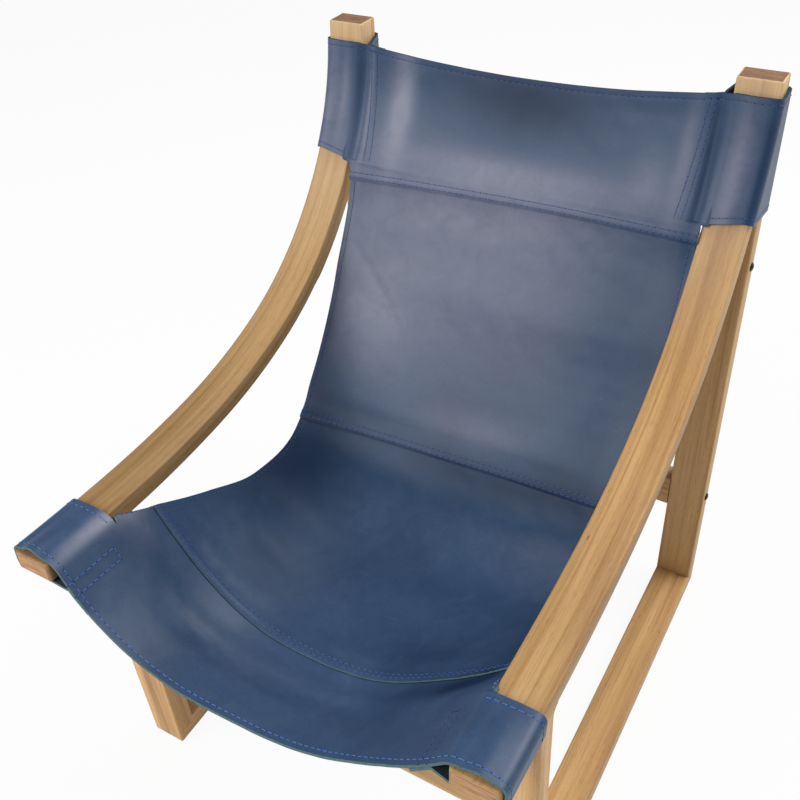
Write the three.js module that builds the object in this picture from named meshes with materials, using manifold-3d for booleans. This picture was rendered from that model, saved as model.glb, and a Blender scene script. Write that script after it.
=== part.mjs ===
// Leather sling lounge chair.
// Two wooden side frames, each a bent arm rail on a front leg, a floor runner and a rear leg, are
// tied by three bolted crossbars. A sling of four sewn leather panels hangs between the rails: its
// front panel wraps the rails' front ends as two pockets, and its head panel wraps the rails and the
// rear legs as two sleeves.
// Millimetres. X runs across (right side positive), Y runs from the front to the back, Z is up.
// A side view is worked in (y, z), with y = 0 at the front end of the rails and z = 0 on the floor.

import * as THREE from 'three';
import { mergeVertices } from 'three/addons/utils/BufferGeometryUtils.js';
import Module from 'manifold-3d';

// Frame stock
const chairWidth = 610;
const barWidth = 53;
const barThickness = 30;
const railThickness = 26;
const edgeRadius = 2.5;
const edgeSteps = 2;
const jointGap = 0.3;

// Arm rail: a bent bar whose front face has these headings at equal steps of its length
const railLength = 905;
const railFrontHeight = 477;
const railHeadingDegrees = [-3.5, -0.5, 6.5, 20.5, 41.5, 60.5, 86];
const railSteps = 48;
const scarfStartShare = 0.6;
const scarfTipThickness = 7.2;
const cutSteps = 4;

// Legs
const frontLegSetback = 89;
const rearLegLeanDegrees = 1;
const legFilletRadius = 11;

// Crossbars, bar stock on edge: clear height under one, and clearances of the others to the leather
const lowerCrossbarHeight = 173;
const frontCrossbarBelowSling = 2.7;
const upperCrossbarBelowSleeve = 39.9;

// Connector bolts and barrel nuts
const boltRadius = 3;
const boltHeadRadius = 6;
const boltHeadHeight = 3.2;
const nutRadius = 5;
const nutLength = 16;
const nutInset = 24;
const boltPastNut = 8;
const roundSides = 10;

// Dowels beside each bolt
const dowelRadius = 4;
const dowelLength = 36;
const dowelOffset = 16;

// Loose tenon between front leg and rail
const tenonWidth = 34;
const tenonThickness = 10;
const tenonHeight = 34;
const tenonInRail = 15;

// Loose splines across the runner mitres
const splineWidth = 34;
const splineThickness = 4;
const splineLength = 16;

// Leather
const leatherThickness = 3.5;
const leatherGap = 0.3;
const seamOverlap = 22;
const seamRamp = 9;
const freeEdgeInset = 8;
const pocketLegClearance = 4;
const cornerRadius = 18;
const sleeveRearSlack = 3;
const sleeveRearDrop = 10;
const sleeveMouthRise = 8;

// Sling: how far the leather hangs below the rail line, at places along the rail
const sideDrop = 164;
const sideDropPlaceShares = [0.105, 0.132, 0.175, 0.267, 0.357, 0.42, 0.464, 0.498, 0.534, 0.571, 0.61,
  0.65, 0.707, 0.77, 0.795];
const sideDropShares = [0, 0.088, 0.226, 0.563, 0.896, 1, 0.915, 0.76, 0.625, 0.495, 0.37, 0.252, 0.145,
  0.045, 0];
const middleSag = 161;
const middleSagPlaceShares = [0, 0.06, 0.105, 0.165, 0.25, 0.33, 0.42, 0.5, 0.7, 0.8, 0.96];
const middleSagShares = [0.77, 0.839, 1, 0.866, 0.654, 0.393, 0.085, 0.063, 0.076, 0.075, 0.139];
const backStartShare = 0.5;
const seatRoundness = 2.41;
const backRoundness = 1.62;
const seatSkew = 0.13;
const backSkew = 0.022;

// Sling: front edge, three seams and top edge, as shares of the rail's length
const seamPlaceShares = [-0.002, 0.165, 0.4605, 0.7725, 0.975];
const seamBowShares = [0.009, -0.0165, 0.0055, 0.0065, -0.024];
const seamSkewShares = [0, -0.0035, 0.006, 0.006, 0.003];
const frontCornerShare = 0.006;
const pocketEndShare = 0.6;
const pocketRowSteps = 4;
const cornerRowShares = [0.65, 0.71, 0.86, 1];
const panelRowSteps = 8;
const sleeveRowSteps = 7;
const headPanel = 3;
const sleeveStartShare = 0.15;

// Sling mesh: places across each half, and rows along each panel
const acrossShares = [0.12, 0.24, 0.36, 0.48, 0.6, 0.71, 0.8, 0.85, 0.9, 0.945, 1];
const contactShares = [0.945, 0.9, 0.85];
const pocketReachShares = [0, 0, 0, 0, 0.3, 0.8, 1, 1, 1, 1, 1];
const probeShare = 0.002;
const undersideSteps = 120;

// Colours from the real object
const woodFinish = { color: 0xc8a069, roughness: 0.55, metalness: 0 };
const beechFinish = { color: 0xd8b98a, roughness: 0.7, metalness: 0 };
const leatherFinish = { color: 0x32466a, roughness: 0.42, metalness: 0 };
const boltFinish = { color: 0x1c1c1e, roughness: 0.4, metalness: 0.8 };
const zincFinish = { color: 0xb4b8bc, roughness: 0.35, metalness: 1 };

// Values that follow from them
const outerHalf = chairWidth / 2;
const innerHalf = outerHalf - barWidth;
const sideCentre = outerHalf - barWidth / 2;
const lean = THREE.MathUtils.degToRad(rearLegLeanDegrees);
const freeHalf = innerHalf - freeEdgeInset;
const wrapInner = edgeRadius + leatherGap;
const wrapOuter = wrapInner + leatherThickness;
const cutOverrun = barWidth;
const boltLength = barWidth + nutInset + boltPastNut;
const sides = { left: -1, right: 1 };

const wasm = await Module();
wasm.setup();

// A closed geometry as a solid for cutting
function toSolid(geometry) {
  const bare = geometry.index ? geometry.toNonIndexed() : geometry.clone();
  bare.deleteAttribute('normal');
  bare.deleteAttribute('uv');
  const merged = mergeVertices(bare);
  const vertProperties = Float32Array.from(merged.attributes.position.array);
  const triVerts = Uint32Array.from(merged.index.array);
  return new wasm.Manifold(new wasm.Mesh({ numProp: 3, vertProperties, triVerts }));
}

// A cut solid as a geometry again
function toGeometry(solid) {
  const mesh = solid.getMesh();
  const geometry = new THREE.BufferGeometry();
  geometry.setAttribute('position', new THREE.BufferAttribute(Float32Array.from(mesh.vertProperties), 3));
  geometry.setIndex(new THREE.BufferAttribute(Uint32Array.from(mesh.triVerts), 1));
  geometry.computeVertexNormals();
  return geometry;
}

// A geometry with all of the cutters taken away
function cutAway(geometry, cutters) {
  let solid = toSolid(geometry);
  for (const cutter of cutters) {
    solid = solid.subtract(toSolid(cutter));
  }
  return toGeometry(solid);
}

function mesh(name, geometry, finish) {
  const made = new THREE.Mesh(geometry, new THREE.MeshStandardMaterial(finish));
  made.name = name;
  return made;
}

// A side outline in (y, z) as a plate across X, centred, with its two faces' edges rounded
const sideToSpace = new THREE.Matrix4().makeBasis(
  new THREE.Vector3(0, 1, 0), new THREE.Vector3(0, 0, 1), new THREE.Vector3(1, 0, 0));

function plate(outline, width, radius = 0) {
  const settings = { depth: width - 2 * radius, steps: 1, bevelEnabled: radius > 0 };
  if (radius > 0) {
    settings.bevelThickness = radius;
    settings.bevelSize = radius;
    settings.bevelOffset = -radius;
    settings.bevelSegments = edgeSteps;
  }
  const geometry = new THREE.ExtrudeGeometry(new THREE.Shape(outline), settings);
  geometry.translate(0, 0, radius - width / 2);
  return geometry.applyMatrix4(sideToSpace);
}

// A cutting plate reaches past both side faces
function cutter(outline) {
  return plate(outline, barWidth + 2 * cutOverrun);
}

// A rectangle with rounded corners, centred
function roundedSection(width, height) {
  const right = width / 2;
  const top = height / 2;
  const shape = new THREE.Shape();
  shape.absarc(right - edgeRadius, top - edgeRadius, edgeRadius, 0, Math.PI / 2);
  shape.absarc(edgeRadius - right, top - edgeRadius, edgeRadius, Math.PI / 2, Math.PI);
  shape.absarc(edgeRadius - right, edgeRadius - top, edgeRadius, Math.PI, 1.5 * Math.PI);
  shape.absarc(right - edgeRadius, edgeRadius - top, edgeRadius, 1.5 * Math.PI, 2 * Math.PI);
  return shape;
}

// A round bar along X, centred
function roundBar(radius, length) {
  return new THREE.CylinderGeometry(radius, radius, length, roundSides).rotateZ(Math.PI / 2);
}

// Heading of the rail's front face at a share of its length
function railHeading(share) {
  const spans = railHeadingDegrees.length - 1;
  const span = THREE.MathUtils.clamp(Math.floor(share * spans), 0, spans - 1);
  const [from, to] = railHeadingDegrees.slice(span, span + 2);
  return THREE.MathUtils.degToRad(THREE.MathUtils.lerp(from, to, share * spans - span));
}

// Corner points between the rail's tangent arcs
function railArcStarts() {
  const spans = railHeadingDegrees.length - 1;
  const starts = [new THREE.Vector2(0, railFrontHeight)];
  for (let span = 0; span < spans; span += 1) {
    const step = arcStep(railHeading(span / spans), railHeading((span + 1) / spans), railLength / spans);
    starts.push(starts[span].clone().add(step));
  }
  return starts;
}

// Way covered by an arc of a given length that turns from one heading to another
function arcStep(from, to, length) {
  const turn = to - from;
  const radius = length / turn;
  const way = new THREE.Vector2(Math.sin(to) - Math.sin(from), Math.cos(from) - Math.cos(to));
  return way.multiplyScalar(radius);
}

const railStarts = railArcStarts();

// The rail's inward direction, from its front face to its back face
function railInward(share) {
  const heading = railHeading(share);
  return new THREE.Vector2(Math.sin(heading), -Math.cos(heading));
}

// A point in (y, z) at a share of the rail's length and a depth below its front face
function railPoint(share, depth = 0) {
  const spans = railHeadingDegrees.length - 1;
  const span = THREE.MathUtils.clamp(Math.floor(share * spans), 0, spans - 1);
  const start = railHeading(span / spans);
  const length = (share - span / spans) * railLength;
  const point = railStarts[span].clone();
  if (length !== 0) {
    point.add(arcStep(start, railHeading(share), length));
  }
  return point.addScaledVector(railInward(share), depth);
}

// Points along the rail at one depth, between two shares of its length
function railRun(from, to, depth, steps) {
  const points = [];
  for (let step = 0; step <= steps; step += 1) {
    points.push(railPoint(THREE.MathUtils.lerp(from, to, step / steps), depth));
  }
  return points;
}

// Both the rail and the rear leg are cut level where the rail's back face ends
const chairHeight = railPoint(1, railThickness).y;

// The rear leg leans so that its back face stands clear of the rail's there by the scarf's tip
const rearLegSetback = railPoint(1, railThickness).x + scarfTipThickness - barThickness / Math.cos(lean)
  - Math.tan(lean) * chairHeight;

class RailCentreLine extends THREE.Curve {
  getPoint(share, target = new THREE.Vector3()) {
    const point = railPoint(share, railThickness / 2);
    return target.set(0, point.x, point.y);
  }
}

// Front face of the rear leg at a height
function rearLegFront(height) {
  return rearLegSetback + Math.tan(lean) * height;
}

// Back face of the rear leg at a height
function rearLegBack(height) {
  return rearLegFront(height) + barThickness / Math.cos(lean);
}

// One side of a sloping cut through two points of the side view, moved off it by half the joint gap
function cutBeside(start, end) {
  const along = end.clone().sub(start).normalize();
  const off = new THREE.Vector2(along.y, -along.x);
  const a = start.clone().addScaledVector(along, -cutOverrun).addScaledVector(off, -jointGap / 2);
  const b = end.clone().addScaledVector(along, cutOverrun).addScaledVector(off, -jointGap / 2);
  const c = b.clone().addScaledVector(off, 2 * cutOverrun);
  const d = a.clone().addScaledVector(off, 2 * cutOverrun);
  return cutter([a, b, c, d]);
}

// Outer and inner corners of the two mitres between legs and runner
const frontMitre = [
  new THREE.Vector2(frontLegSetback, 0),
  new THREE.Vector2(frontLegSetback + barThickness, barThickness),
];
const rearMitre = [
  new THREE.Vector2(rearLegBack(0), 0),
  new THREE.Vector2(rearLegFront(barThickness), barThickness),
];

function splinePlaced(mitre, clearance) {
  const middle = mitre[0].clone().lerp(mitre[1], 0.5);
  const along = mitre[1].clone().sub(mitre[0]);
  const spline = new THREE.BoxGeometry(splineWidth + 2 * clearance, splineThickness + 2 * clearance,
    splineLength + 2 * clearance);
  spline.rotateX(Math.atan2(along.y, along.x));
  return spline.translate(0, middle.x, middle.y);
}

// Where the front leg's loose tenon stands
const tenonBase = railPoint((frontLegSetback + barThickness / 2) / railLength, railThickness);

function tenonPlaced(clearance) {
  const tenon = new THREE.BoxGeometry(tenonWidth + 2 * clearance, tenonThickness + 2 * clearance,
    tenonHeight + 2 * clearance);
  const middle = tenonBase.y + tenonInRail - tenonHeight / 2;
  return tenon.translate(0, frontLegSetback + barThickness / 2, middle);
}

// A crossbar's place: middle of the bar in the side view, and its lean
function crossbarPlace(front, height, tilt) {
  const middle = height + barWidth / 2;
  return { y: front(middle) + barThickness / 2 / Math.cos(tilt), z: middle, tilt };
}

// A point beside a crossbar's middle line, at a height along its leaning face
function besideBolt(place, offset) {
  return { y: place.y + Math.sin(place.tilt) * offset, z: place.z + Math.cos(place.tilt) * offset };
}

// Holes that a crossbar's fastenings need in a leg, in the leg's own frame
function legHoles(side, place) {
  const holes = [roundBar(boltRadius + jointGap, barWidth + 2 * cutOverrun).translate(0, place.y, place.z)];
  for (const offset of [-dowelOffset, dowelOffset]) {
    const at = besideBolt(place, offset);
    const hole = roundBar(dowelRadius + jointGap, dowelLength + 2 * jointGap);
    holes.push(hole.translate(-side * barWidth / 2, at.y, at.z));
  }
  return holes;
}

function armRail() {
  const section = roundedSection(barWidth, railThickness);
  const bar = new THREE.ExtrudeGeometry(section, {
    steps: railSteps, curveSegments: edgeSteps, bevelEnabled: false, extrudePath: new RailCentreLine(),
  });
  const above = cutter([
    new THREE.Vector2(0, chairHeight),
    new THREE.Vector2(2 * rearLegSetback, chairHeight),
    new THREE.Vector2(2 * rearLegSetback, chairHeight + cutOverrun),
    new THREE.Vector2(0, chairHeight + cutOverrun),
  ]);
  return cutAway(bar, [above, tenonPlaced(jointGap)]);
}

// The space that the rail fills over the front leg, down to its back face and the glue gap
function railAboveFrontLeg() {
  const reach = (frontLegSetback + barThickness + 3 * legFilletRadius) / railLength;
  const below = railRun(0, reach, railThickness + jointGap, cutSteps);
  const above = railRun(0, reach, -cutOverrun, cutSteps);
  return cutter([...below, ...above.reverse()]);
}

function frontLeg(side) {
  const front = frontLegSetback;
  const back = front + barThickness;
  const filletBack = back + legFilletRadius;
  const under = railPoint(filletBack / railLength, railThickness).y;
  const outline = new THREE.Path();
  outline.moveTo(front, -cutOverrun);
  outline.lineTo(back, -cutOverrun);
  outline.lineTo(back, under - legFilletRadius);
  outline.absarc(filletBack, under - legFilletRadius, legFilletRadius, Math.PI, Math.PI / 2, true);
  outline.lineTo(filletBack, under + railThickness / 2);
  outline.lineTo(front, under + railThickness / 2);
  const bar = plate(outline.getPoints(cutSteps), barWidth, edgeRadius);
  return cutAway(bar, [
    cutBeside(frontMitre[0], frontMitre[1]),
    splinePlaced(frontMitre, jointGap),
    railAboveFrontLeg(),
    tenonPlaced(jointGap),
    ...legHoles(side, crossbars.front),
  ]);
}

// The space in front of the rail's back face that the rear leg is scarfed to
function railBeforeRearLeg() {
  const back = railRun(scarfStartShare, 1, railThickness + jointGap, railSteps);
  const above = back[back.length - 1].clone().addScaledVector(railInward(1).rotateAround(
    new THREE.Vector2(), Math.PI / 2), cutOverrun);
  return cutter([...back, above, new THREE.Vector2(0, above.y), new THREE.Vector2(0, back[0].y)]);
}

function rearLeg(side) {
  const bar = plate([
    new THREE.Vector2(rearLegFront(-cutOverrun), -cutOverrun),
    new THREE.Vector2(rearLegBack(-cutOverrun), -cutOverrun),
    new THREE.Vector2(rearLegBack(chairHeight + cutOverrun), chairHeight + cutOverrun),
    new THREE.Vector2(rearLegFront(chairHeight + cutOverrun), chairHeight + cutOverrun),
  ], barWidth, edgeRadius);
  const above = cutter([
    new THREE.Vector2(0, chairHeight),
    new THREE.Vector2(2 * rearLegSetback, chairHeight),
    new THREE.Vector2(2 * rearLegSetback, chairHeight + 2 * cutOverrun),
    new THREE.Vector2(0, chairHeight + 2 * cutOverrun),
  ]);
  return cutAway(bar, [
    above,
    cutBeside(rearMitre[1], rearMitre[0]),
    splinePlaced(rearMitre, jointGap),
    railBeforeRearLeg(),
    ...legHoles(side, crossbars.rear_lower),
    ...legHoles(side, crossbars.rear_upper),
  ]);
}

function floorRunner() {
  const bar = plate([
    new THREE.Vector2(frontLegSetback - cutOverrun, 0),
    new THREE.Vector2(rearLegBack(0) + cutOverrun, 0),
    new THREE.Vector2(rearLegBack(0) + cutOverrun, barThickness),
    new THREE.Vector2(frontLegSetback - cutOverrun, barThickness),
  ], barWidth, edgeRadius);
  return cutAway(bar, [
    cutBeside(frontMitre[1], frontMitre[0]),
    cutBeside(rearMitre[0], rearMitre[1]),
    splinePlaced(frontMitre, jointGap),
    splinePlaced(rearMitre, jointGap),
  ]);
}

// A crossbar about its own middle, with its bolt, nut and dowel holes at both ends
function crossbar() {
  const half = innerHalf - jointGap;
  const bar = new THREE.ExtrudeGeometry(roundedSection(barThickness, barWidth), {
    depth: 2 * half, steps: 1, curveSegments: edgeSteps, bevelEnabled: false,
  });
  bar.translate(0, 0, -half).applyMatrix4(sideToSpace);
  const holes = [];
  for (const side of Object.values(sides)) {
    const boltDepth = nutInset + boltPastNut + jointGap;
    holes.push(roundBar(boltRadius + jointGap, 2 * boltDepth).translate(side * half, 0, 0));
    for (const offset of [-dowelOffset, dowelOffset]) {
      const dowelHole = roundBar(dowelRadius + jointGap, dowelLength + 2 * jointGap);
      holes.push(dowelHole.translate(side * half, 0, offset));
    }
    const bore = nutRadius + jointGap;
    const nutDepth = barThickness / 2 + nutLength / 2 + jointGap;
    const nutHole = new THREE.CylinderGeometry(bore, bore, 2 * nutDepth, roundSides);
    holes.push(nutHole.translate(side * (half - nutInset), barThickness / 2, 0));
  }
  return cutAway(bar, holes);
}

// A connector bolt along X: its shank points to -X from the head's seat at zero
function connectorBolt() {
  const head = new THREE.EllipseCurve(0, 0, boltHeadRadius, boltHeadHeight, 0, Math.PI / 2);
  const profile = [
    new THREE.Vector2(0, -boltLength),
    new THREE.Vector2(boltRadius, -boltLength),
    new THREE.Vector2(boltRadius, 0),
    ...head.getPoints(cutSteps),
  ];
  profile[profile.length - 1].x = 0;
  return new THREE.LatheGeometry(profile, roundSides).rotateZ(-Math.PI / 2);
}

function barrelNut() {
  const nut = new THREE.CylinderGeometry(nutRadius, nutRadius, nutLength, roundSides);
  return cutAway(nut, [roundBar(boltRadius + jointGap, 2 * nutLength)]);
}

// Smooth curve through a table, with no overshoot between its points
function smoothTable(places, values) {
  const steps = places.slice(1).map((place, index) => place - places[index]);
  const slopes = steps.map((step, index) => (values[index + 1] - values[index]) / step);
  const tangents = places.map((place, index) => {
    const before = slopes[Math.max(index - 1, 0)];
    const after = slopes[Math.min(index, slopes.length - 1)];
    return before * after <= 0 ? 0 : 2 * before * after / (before + after);
  });
  return (place) => {
    if (place <= places[0]) {
      return values[0];
    }
    if (place >= places[places.length - 1]) {
      return values[values.length - 1];
    }
    const index = places.findIndex((next) => next > place) - 1;
    const t = (place - places[index]) / steps[index];
    const rise = values[index + 1] - values[index];
    const bend = steps[index] * tangents[index] * t * (1 - t) * (1 - t)
      - steps[index] * tangents[index + 1] * t * t * (1 - t);
    return values[index] + rise * t * t * (3 - 2 * t) + bend;
  };
}

const sideDropShareAt = smoothTable(sideDropPlaceShares, sideDropShares);
const middleSagShareAt = smoothTable(middleSagPlaceShares, middleSagShares);

// Place along the rail of a sling line: whole numbers are the front edge, the seams and the top edge
function lineShare(across, line) {
  const span = THREE.MathUtils.clamp(Math.floor(line), 0, seamPlaceShares.length - 2);
  const ends = [span, span + 1].map((seam) => {
    const bow = seamBowShares[seam] * (1 - across * across);
    const corner = seam === 0 ? frontCornerShare * across ** 6 : 0;
    return seamPlaceShares[seam] + bow + seamSkewShares[seam] * across + corner;
  });
  return THREE.MathUtils.lerp(ends[0], ends[1], line - span);
}

const sleeveStartLine = headPanel + sleeveStartShare;

// One in a side's pocket and sleeve, zero along its free edge
function wrapShare(side, place) {
  const corner = cornerRadius / railLength;
  const pocketEndPlace = lineShare(side, pocketEndShare);
  const sleeveStartPlace = lineShare(side, sleeveStartLine);
  const pocket = 1 - THREE.MathUtils.smoothstep(place, pocketEndPlace, pocketEndPlace + corner);
  const sleeve = THREE.MathUtils.smoothstep(place, sleeveStartPlace - corner, sleeveStartPlace);
  return pocket + sleeve;
}

// The sling's section at one place of the rail: how deep it hangs, how round and how lopsided it is
function slingSection(place) {
  const towardsBack = THREE.MathUtils.smoothstep(place, 0, backStartShare);
  const roundness = THREE.MathUtils.lerp(seatRoundness, backRoundness, towardsBack);
  const skew = THREE.MathUtils.lerp(seatSkew, backSkew, towardsBack);
  const edgeDepth = sideDrop * sideDropShareAt(place);
  const middleDepth = edgeDepth + middleSag * middleSagShareAt(place);
  return { roundness, skew, edgeDepth, middleDepth };
}

// Angle at which the leather leaves the top of a rail towards the middle
function leaveAngle(side, place) {
  const section = slingSection(place);
  const fall = section.middleDepth - section.edgeDepth;
  return Math.atan(fall * section.roundness * (1 - 2 * section.skew * side) / innerHalf);
}

// Top surface of the sling: across runs from -1 to 1 between its edges
function slingPoint(across, line) {
  const place = lineShare(across, line);
  const section = slingSection(place);
  const side = across < 0 ? -1 : 1;
  const wrap = wrapShare(side, place);
  const leave = leaveAngle(side, place);
  const wrapHalf = innerHalf + edgeRadius - wrapOuter * Math.sin(leave);
  const half = THREE.MathUtils.lerp(freeHalf, wrapHalf, wrap);
  const edgeDepth = section.edgeDepth + wrap * (edgeRadius - wrapOuter * Math.cos(leave));
  const skewed = across + section.skew * (1 - across * across);
  const bend = Math.abs(skewed) ** section.roundness;
  const depth = THREE.MathUtils.lerp(section.middleDepth, edgeDepth, bend);
  const point = railPoint(place, depth);
  return new THREE.Vector3(half * across, point.x, point.y);
}

// Direction out of the sling's top surface
function slingNormal(across, line) {
  const aside = slingPoint(across + probeShare, line).sub(slingPoint(across - probeShare, line));
  const along = slingPoint(across, line + probeShare).sub(slingPoint(across, line - probeShare));
  return aside.cross(along).normalize();
}

// Outer and inner face of the leather, raised above the sling's top surface
function slingPair(across, line, raise) {
  const point = slingPoint(across, line);
  const normal = slingNormal(across, line);
  return {
    outer: point.clone().addScaledVector(normal, raise),
    inner: point.clone().addScaledVector(normal, raise - leatherThickness),
  };
}

// Length of a seam's overlap as a share of the panel that lies on top
function overlapShare(panel, length) {
  return length / (railLength * (seamPlaceShares[panel + 1] - seamPlaceShares[panel]));
}

// A panel that lies on top of a seam is raised there by the leather below it
function seamRaise(panel, line) {
  if (panel === 0) {
    return 0;
  }
  const start = overlapShare(panel, seamOverlap);
  const end = start + overlapShare(panel, seamRamp);
  return (leatherThickness + leatherGap) * (1 - THREE.MathUtils.smoothstep(line - panel, start, end));
}

// A point in (y, z) as a point in space
function inSpace(x, point) {
  return new THREE.Vector3(x, point.x, point.y);
}

// A corner of the wood that the leather bends round, from one direction towards another
function bentPair(centre, from, to, angle) {
  const out = from.clone().multiplyScalar(Math.cos(angle)).addScaledVector(to, Math.sin(angle));
  return {
    outer: centre.clone().addScaledVector(out, wrapOuter),
    inner: centre.clone().addScaledVector(out, wrapInner),
  };
}

// The wood inside a front pocket at one place: the rail alone
function pocketWood(place) {
  return {
    front: railPoint(place),
    inward: railInward(place),
    back: railPoint(place, railThickness),
    backward: railInward(place),
  };
}

// The wood inside a head sleeve at one place: the rail in front, up which the sleeve's mouth rises
// outwards, and the rear leg behind, where the mouth hangs lower
function sleeveWood(place, sleeveShare, outwards) {
  const mouth = 1 - sleeveShare;
  const height = railPoint(place).y - sleeveRearDrop * mouth;
  const frontPlace = place + outwards * mouth * sleeveMouthRise / railLength;
  return {
    front: railPoint(frontPlace),
    inward: railInward(frontPlace),
    back: new THREE.Vector2(rearLegBack(height) + sleeveRearSlack, height),
    backward: new THREE.Vector2(Math.cos(lean), -Math.sin(lean)),
  };
}

// The leather from the sling's edge round the wood and back under the sling, at one row
function wrapColumns(side, line, woodAt) {
  const aside = new THREE.Vector3(side, 0, 0);
  const nearX = innerHalf + edgeRadius;
  const farX = outerHalf - edgeRadius;
  const columns = [];
  const bend = (reach, x, atBack, from, to, angle) => {
    const wood = woodAt(reach, x === farX ? 1 : 0);
    const inward = inSpace(0, wood.inward);
    const backward = inSpace(0, wood.backward);
    const centre = atBack
      ? inSpace(side * x, wood.back).addScaledVector(backward, -edgeRadius)
      : inSpace(side * x, wood.front).addScaledVector(inward, edgeRadius);
    const ways = { out: aside, in: aside.clone().negate(), up: inward.clone().negate(), down: backward };
    columns.push({ ...bentPair(centre, ways[from], ways[to], angle), centre, way: ways });
  };
  const reach = [...pocketReachShares];
  const leave = leaveAngle(side, lineShare(side, line));
  bend(reach.shift(), nearX, false, 'up', 'in', leave / 2);
  bend(reach.shift(), nearX, false, 'up', 'in', 0);
  for (const turn of [0, 1, 2]) {
    bend(reach.shift(), farX, false, 'up', 'out', turn * Math.PI / 4);
  }
  for (const turn of [0, 1, 2]) {
    bend(reach.shift(), farX, true, 'out', 'down', turn * Math.PI / 4);
  }
  bend(reach.shift(), nearX, true, 'down', 'in', 0);
  const { centre, way } = columns[columns.length - 1];
  const contacts = contactShares.map((share) => {
    const point = slingPoint(side * share, line);
    const normal = slingNormal(side * share, line);
    return {
      inner: point.clone().addScaledVector(normal, -leatherThickness - leatherGap),
      outer: point.clone().addScaledVector(normal, -2 * leatherThickness - leatherGap),
      down: normal.negate(),
    };
  });
  const reachOut = contacts[0].inner.clone().sub(centre);
  const inwards = reachOut.dot(way.in);
  const downwards = reachOut.dot(way.down);
  const straight = Math.acos(Math.min(1, wrapInner / Math.hypot(inwards, downwards)));
  const leaving = Math.max(0, Math.atan2(inwards, downwards) - straight);
  bend(reach.shift(), nearX, true, 'down', 'in', leaving / 2);
  bend(reach.shift(), nearX, true, 'down', 'in', leaving);
  const facing = way.down.clone().multiplyScalar(Math.cos(leaving));
  facing.addScaledVector(way.in, Math.sin(leaving));
  const mitre = facing.clone().add(contacts[0].down).divideScalar(1 + facing.dot(contacts[0].down));
  contacts[0].outer = contacts[0].inner.clone().addScaledVector(mitre, leatherThickness);
  return [...columns, ...contacts];
}

// A closed sheet from a grid of outer and inner points: a cell is there when its four corners are
function sheet(grid) {
  const positions = [];
  const triangles = [];
  const numbers = grid.map((row) => row.map((pair) => {
    if (!pair) {
      return null;
    }
    positions.push(...pair.outer.toArray(), ...pair.inner.toArray());
    return positions.length / 3 - 2;
  }));
  const isCell = (row, column) => [[0, 0], [0, 1], [1, 0], [1, 1]].every(([down, right]) => {
    const line = numbers[row + down];
    const number = line ? line[column + right] : null;
    return number !== null && number !== undefined;
  });
  const quad = (a, b, c, d) => triangles.push(a, b, c, a, c, d);
  for (let row = 0; row < numbers.length - 1; row += 1) {
    for (let column = 0; column < numbers[row].length - 1; column += 1) {
      if (!isCell(row, column)) {
        continue;
      }
      const [a, b, c, d] = [numbers[row][column], numbers[row][column + 1], numbers[row + 1][column + 1],
        numbers[row + 1][column]];
      quad(a, b, c, d);
      triangles.push(a + 1, c + 1, b + 1, a + 1, d + 1, c + 1);
      const edges = [
        [a, b, row - 1, column],
        [b, c, row, column + 1],
        [c, d, row + 1, column],
        [d, a, row, column - 1],
      ];
      for (const [from, to, nextRow, nextColumn] of edges) {
        if (!isCell(nextRow, nextColumn)) {
          quad(from, from + 1, to + 1, to);
        }
      }
    }
  }
  const geometry = new THREE.BufferGeometry();
  geometry.setAttribute('position', new THREE.Float32BufferAttribute(positions, 3));
  geometry.setIndex(triangles);
  return mergeVertices(geometry);
}

const acrossPlaces = [...acrossShares.map((share) => -share).reverse(), 0, ...acrossShares];

// Rows of a panel between two lines, in equal steps
function evenRows(from, to, steps) {
  return Array.from({ length: steps + 1 }, (unused, step) => THREE.MathUtils.lerp(from, to, step / steps));
}

// Rows of a panel: its seam, the end of the overlap, and then on to the next panel's overlap
function panelRows(panel, steps) {
  const overlap = overlapShare(panel, seamOverlap);
  const start = panel + overlap + overlapShare(panel, seamRamp);
  const rows = [panel, panel + overlap, ...evenRows(start, panel + 1, steps)];
  if (panel + 2 < seamPlaceShares.length) {
    rows.push(panel + 1 + overlapShare(panel + 1, seamOverlap));
  }
  return rows;
}

// A grid row across the sling, with the leather round both rails where a wrap is given
function panelRow(panel, line, wrapAt) {
  const middle = acrossPlaces.map((across) => slingPair(across, line, seamRaise(panel, line)));
  const blank = new Array(pocketReachShares.length + contactShares.length).fill(null);
  const right = wrapAt ? wrapAt(sides.right) : blank;
  const left = wrapAt ? wrapAt(sides.left) : blank;
  return [...[...left].reverse(), ...middle, ...right];
}

function frontPanelSheet() {
  const pocketRows = evenRows(0, pocketEndShare, pocketRowSteps);
  const cornerRows = [...cornerRowShares, 1 + overlapShare(1, seamOverlap)];
  const underEnd = (frontLegSetback - pocketLegClearance) / railLength;
  const woodAt = (side, line, reach) => {
    const start = lineShare(side, 0);
    const end = THREE.MathUtils.lerp(lineShare(side, pocketEndShare), underEnd, reach);
    return pocketWood(THREE.MathUtils.lerp(start, end, line / pocketEndShare));
  };
  const pocketGrid = pocketRows.map((line) => panelRow(0, line,
    (side) => wrapColumns(side, line, (reach) => woodAt(side, line, reach))));
  return sheet([...pocketGrid, ...cornerRows.map((line) => panelRow(0, line, null))]);
}

function middlePanelSheet(panel) {
  return sheet(panelRows(panel, panelRowSteps).map((line) => panelRow(panel, line, null)));
}

function headPanelSheet() {
  const rows = panelRows(headPanel, sleeveRowSteps).map((line) => {
    const sleeveShare = (line - sleeveStartLine) / (1 - sleeveStartShare);
    if (sleeveShare < -probeShare) {
      return panelRow(headPanel, line, null);
    }
    return panelRow(headPanel, line, (side) => wrapColumns(side, line,
      (reach, outwards) => sleeveWood(lineShare(side, line), sleeveShare, outwards)));
  });
  return sheet(rows);
}

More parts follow.
